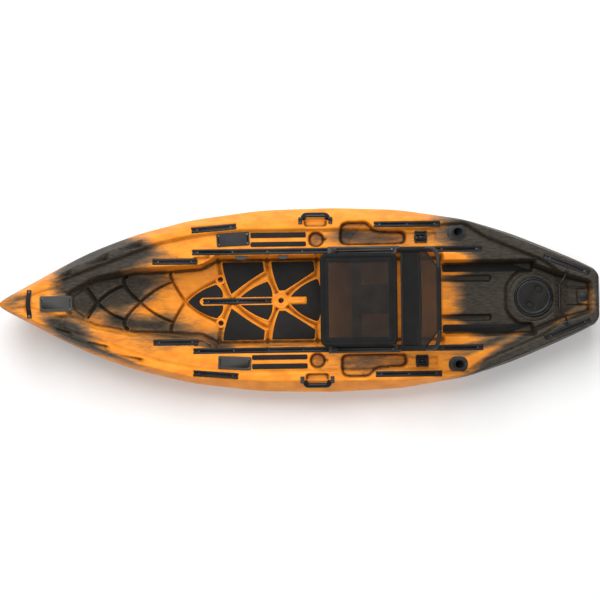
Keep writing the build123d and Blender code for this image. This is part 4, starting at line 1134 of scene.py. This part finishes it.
def clip_cheeks():
    """Clamps that hold the paddle clip's base to the ledge on both sides of its channel."""
    screw = [(5.5, 267.5), (5.5, 271), (4.2, 272.4), (2.4, 272.6), (2.2, 271.6), (0.01, 271.6)]
    for side, word in SIDES:
        parts = []
        for y in (297, 349):
            ring = rounded_box(600, 664, side * (y - 5), side * (y + 5), 3, 4)
            parts.append(slab(ring, 261.5, 268.0, 1.5))
            for x in (606, 658):
                parts.append(turned(screw, (x, side * y), 20))
        obj = piece(f"{word}_clip_cheeks", *joined(*parts), BLACK, "boat", "moulded_black")
        shade_by_angle(obj, 45)


bow_strap()
stern_bail()
side_handles()
clip_cheeks()


# ---- hatch ------------------------------------------------------------------
def hatch_details():
    """Raised rim, radial grips and latch marks on the hatch lid and its ring, and black slabs in
    the lid's two finger wells as painted shade.
    """
    x, y = HATCH
    ring = [(91.5, 157), (92, 159.5), (94, 161), (98, 161), (101, 159.4), (102.6, 156.5),
            (102.9, 150.5)]
    obj = piece("hatch_ring_bead", *turned(ring, (x, y), 96), GLOSS, "boat", "hatch_plastic")
    shade_by_angle(obj, 50)
    lid = [(89.8, 161), (89.8, 165), (88.5, 166.8), (86, 167.4), (80, 167.4), (77.5, 166.6),
           (76.5, 165.8)]
    parts = [turned(lid, (x, y), 96)]
    for k in range(24):
        a = 2 * math.pi * k / 24
        c, s = math.cos(a), math.sin(a)
        run = [(x + c * r, y + s * r, 167.6) for r in (79, 87)]
        parts.append(swept(run, flat_strap(5.0, 1.8)))
    arrow = [(x + 8, y - 66, 166), (x + 8, y - 52, 166)]
    parts.append(swept(arrow, flat_strap(4, 1.2)))
    # painted shade: thin black rubber slabs laid at the bottom of the two finger wells darken them
    well_shade_slabs = []
    for dx, dy in ((26, 42), (-20, -41)):
        turn = math.atan2(dy, dx)
        c, s = math.cos(turn), math.sin(turn)
        ring = [(x + dx + a * c - b * s, y + dy + a * s + b * c)
                for a, b in rounded_box(-15, 15, -20, 20, 12, 6)]
        well_shade_slabs.append(slab(ring, 155.9, 156.8, 0.4))
    piece("hatch_lid_well_shades", *joined(*well_shade_slabs), RUBBER, "hatch_lid_body", "hatch_plastic")
    top = piece("hatch_lid_rim", *joined(*parts), BLACK, "hatch_lid_body", "hatch_plastic")
    shade_by_angle(top, 50)


hatch_details()


# ---- materials and soft edges on the CAD parts --------------------------------
def finish_of(name):
    """The material of a CAD node; moulded black plastic unless it is listed."""
    if name.endswith("_track"):
        return TRACK
    if name.endswith("screws"):
        return DARK_STEEL
    special = {
        "stern_handle_mounts": GLOSS, "drain_washer": RUBBER, "hatch_gasket": RUBBER,
        "hatch_ring": GLOSS, "hatch_lid": LID, "bow_plate": PLATE_CHARCOAL_AND_SHEEN,
        # painted reflection: port_plate takes the paler charcoal where starboard_plate is black,
        # standing for the sheen on the port plate
        "port_plate": PLATE_CHARCOAL_AND_SHEEN, "starboard_plate": PLATE, "port_seat_bracket": BRACKET,
        "starboard_seat_bracket": BRACKET, "seat_bolts": DARK_STEEL, "backrest_pins": DARK_STEEL,
        "port_rod_holder": FLANGE, "starboard_rod_holder": FLANGE,
    }
    return special.get(name, BLACK)


for name, node in nodes.items():
    if node.hide_render:
        continue
    node.data.materials.clear()
    node.data.materials.append(finish_of(name))
    if name.endswith("screws") or name in ("drain_washer", "hatch_gasket", "wall_fittings"):
        continue
    weld = node.modifiers.new("weld", "WELD")
    weld.merge_threshold = 0.00002
    bevel = node.modifiers.new("soft_edges", "BEVEL")
    bevel.width = 0.0009
    bevel.segments = 2
    bevel.limit_method = "ANGLE"
    bevel.angle_limit = math.radians(38)
    bevel.use_clamp_overlap = True


# ---- floor, light and camera ----------------------------------------------
CAMERA_AT = (0.0, 0.002, 14.0)
CAMERA_TURN = -0.0141     # the boat lies slightly askew in the picture
LENS = 158.4              # with a 36 mm sensor, the boat fills the width from 14 m
LAMPS = (("key", (-0.4, 2.9, 4.3), 5.0, 392.0), ("fill", (0.6, -3.0, 4.4), 4.0, 80.0))


def studio():
    """Pale floor, soft daylight, two lamps and a camera looking straight down."""
    floor = Graph("pale_floor", rough=0.9)
    floor.colour(floor.mix(floor.remap(floor.noise(3.0), 0.3, 0.7, 0.0, 1.0),
                           (0.86, 0.86, 0.86), (0.89, 0.89, 0.89)))
    mesh = bpy.data.meshes.new("floor")
    size, under = 14.0, -0.002
    mesh.from_pydata([(-size, -size, under), (size, -size, under), (size, size, under),
                      (-size, size, under)], [], [(0, 1, 2, 3)])
    mesh.materials.append(floor.mat)
    obj = bpy.data.objects.new("floor", mesh)
    bpy.context.scene.collection.objects.link(obj)

    world = bpy.data.worlds.new("studio")
    bpy.context.scene.world = world
    world.use_nodes = True
    sky = world.node_tree.nodes["Background"]
    sky.inputs["Color"].default_value = (1.0, 0.99, 0.97, 1)
    sky.inputs["Strength"].default_value = 0.42
    for name, place, size, power in LAMPS:
        light = bpy.data.lights.new(name, "AREA")
        light.size = size
        light.energy = power
        lamp = bpy.data.objects.new(name, light)
        lamp.location = place
        aim = Vector((0, 0, 0.2)) - Vector(place)
        lamp.rotation_euler = aim.to_track_quat("-Z", "Y").to_euler()
        bpy.context.scene.collection.objects.link(lamp)

    camera = bpy.data.cameras.new("camera")
    camera.lens = LENS
    camera.sensor_width = 36.0
    view = bpy.data.objects.new("camera", camera)
    view.location = CAMERA_AT
    view.rotation_euler = (0.0, 0.0, CAMERA_TURN)
    bpy.context.scene.collection.objects.link(view)
    bpy.context.scene.camera = view
    bpy.context.scene.view_settings.view_transform = "Standard"


studio()
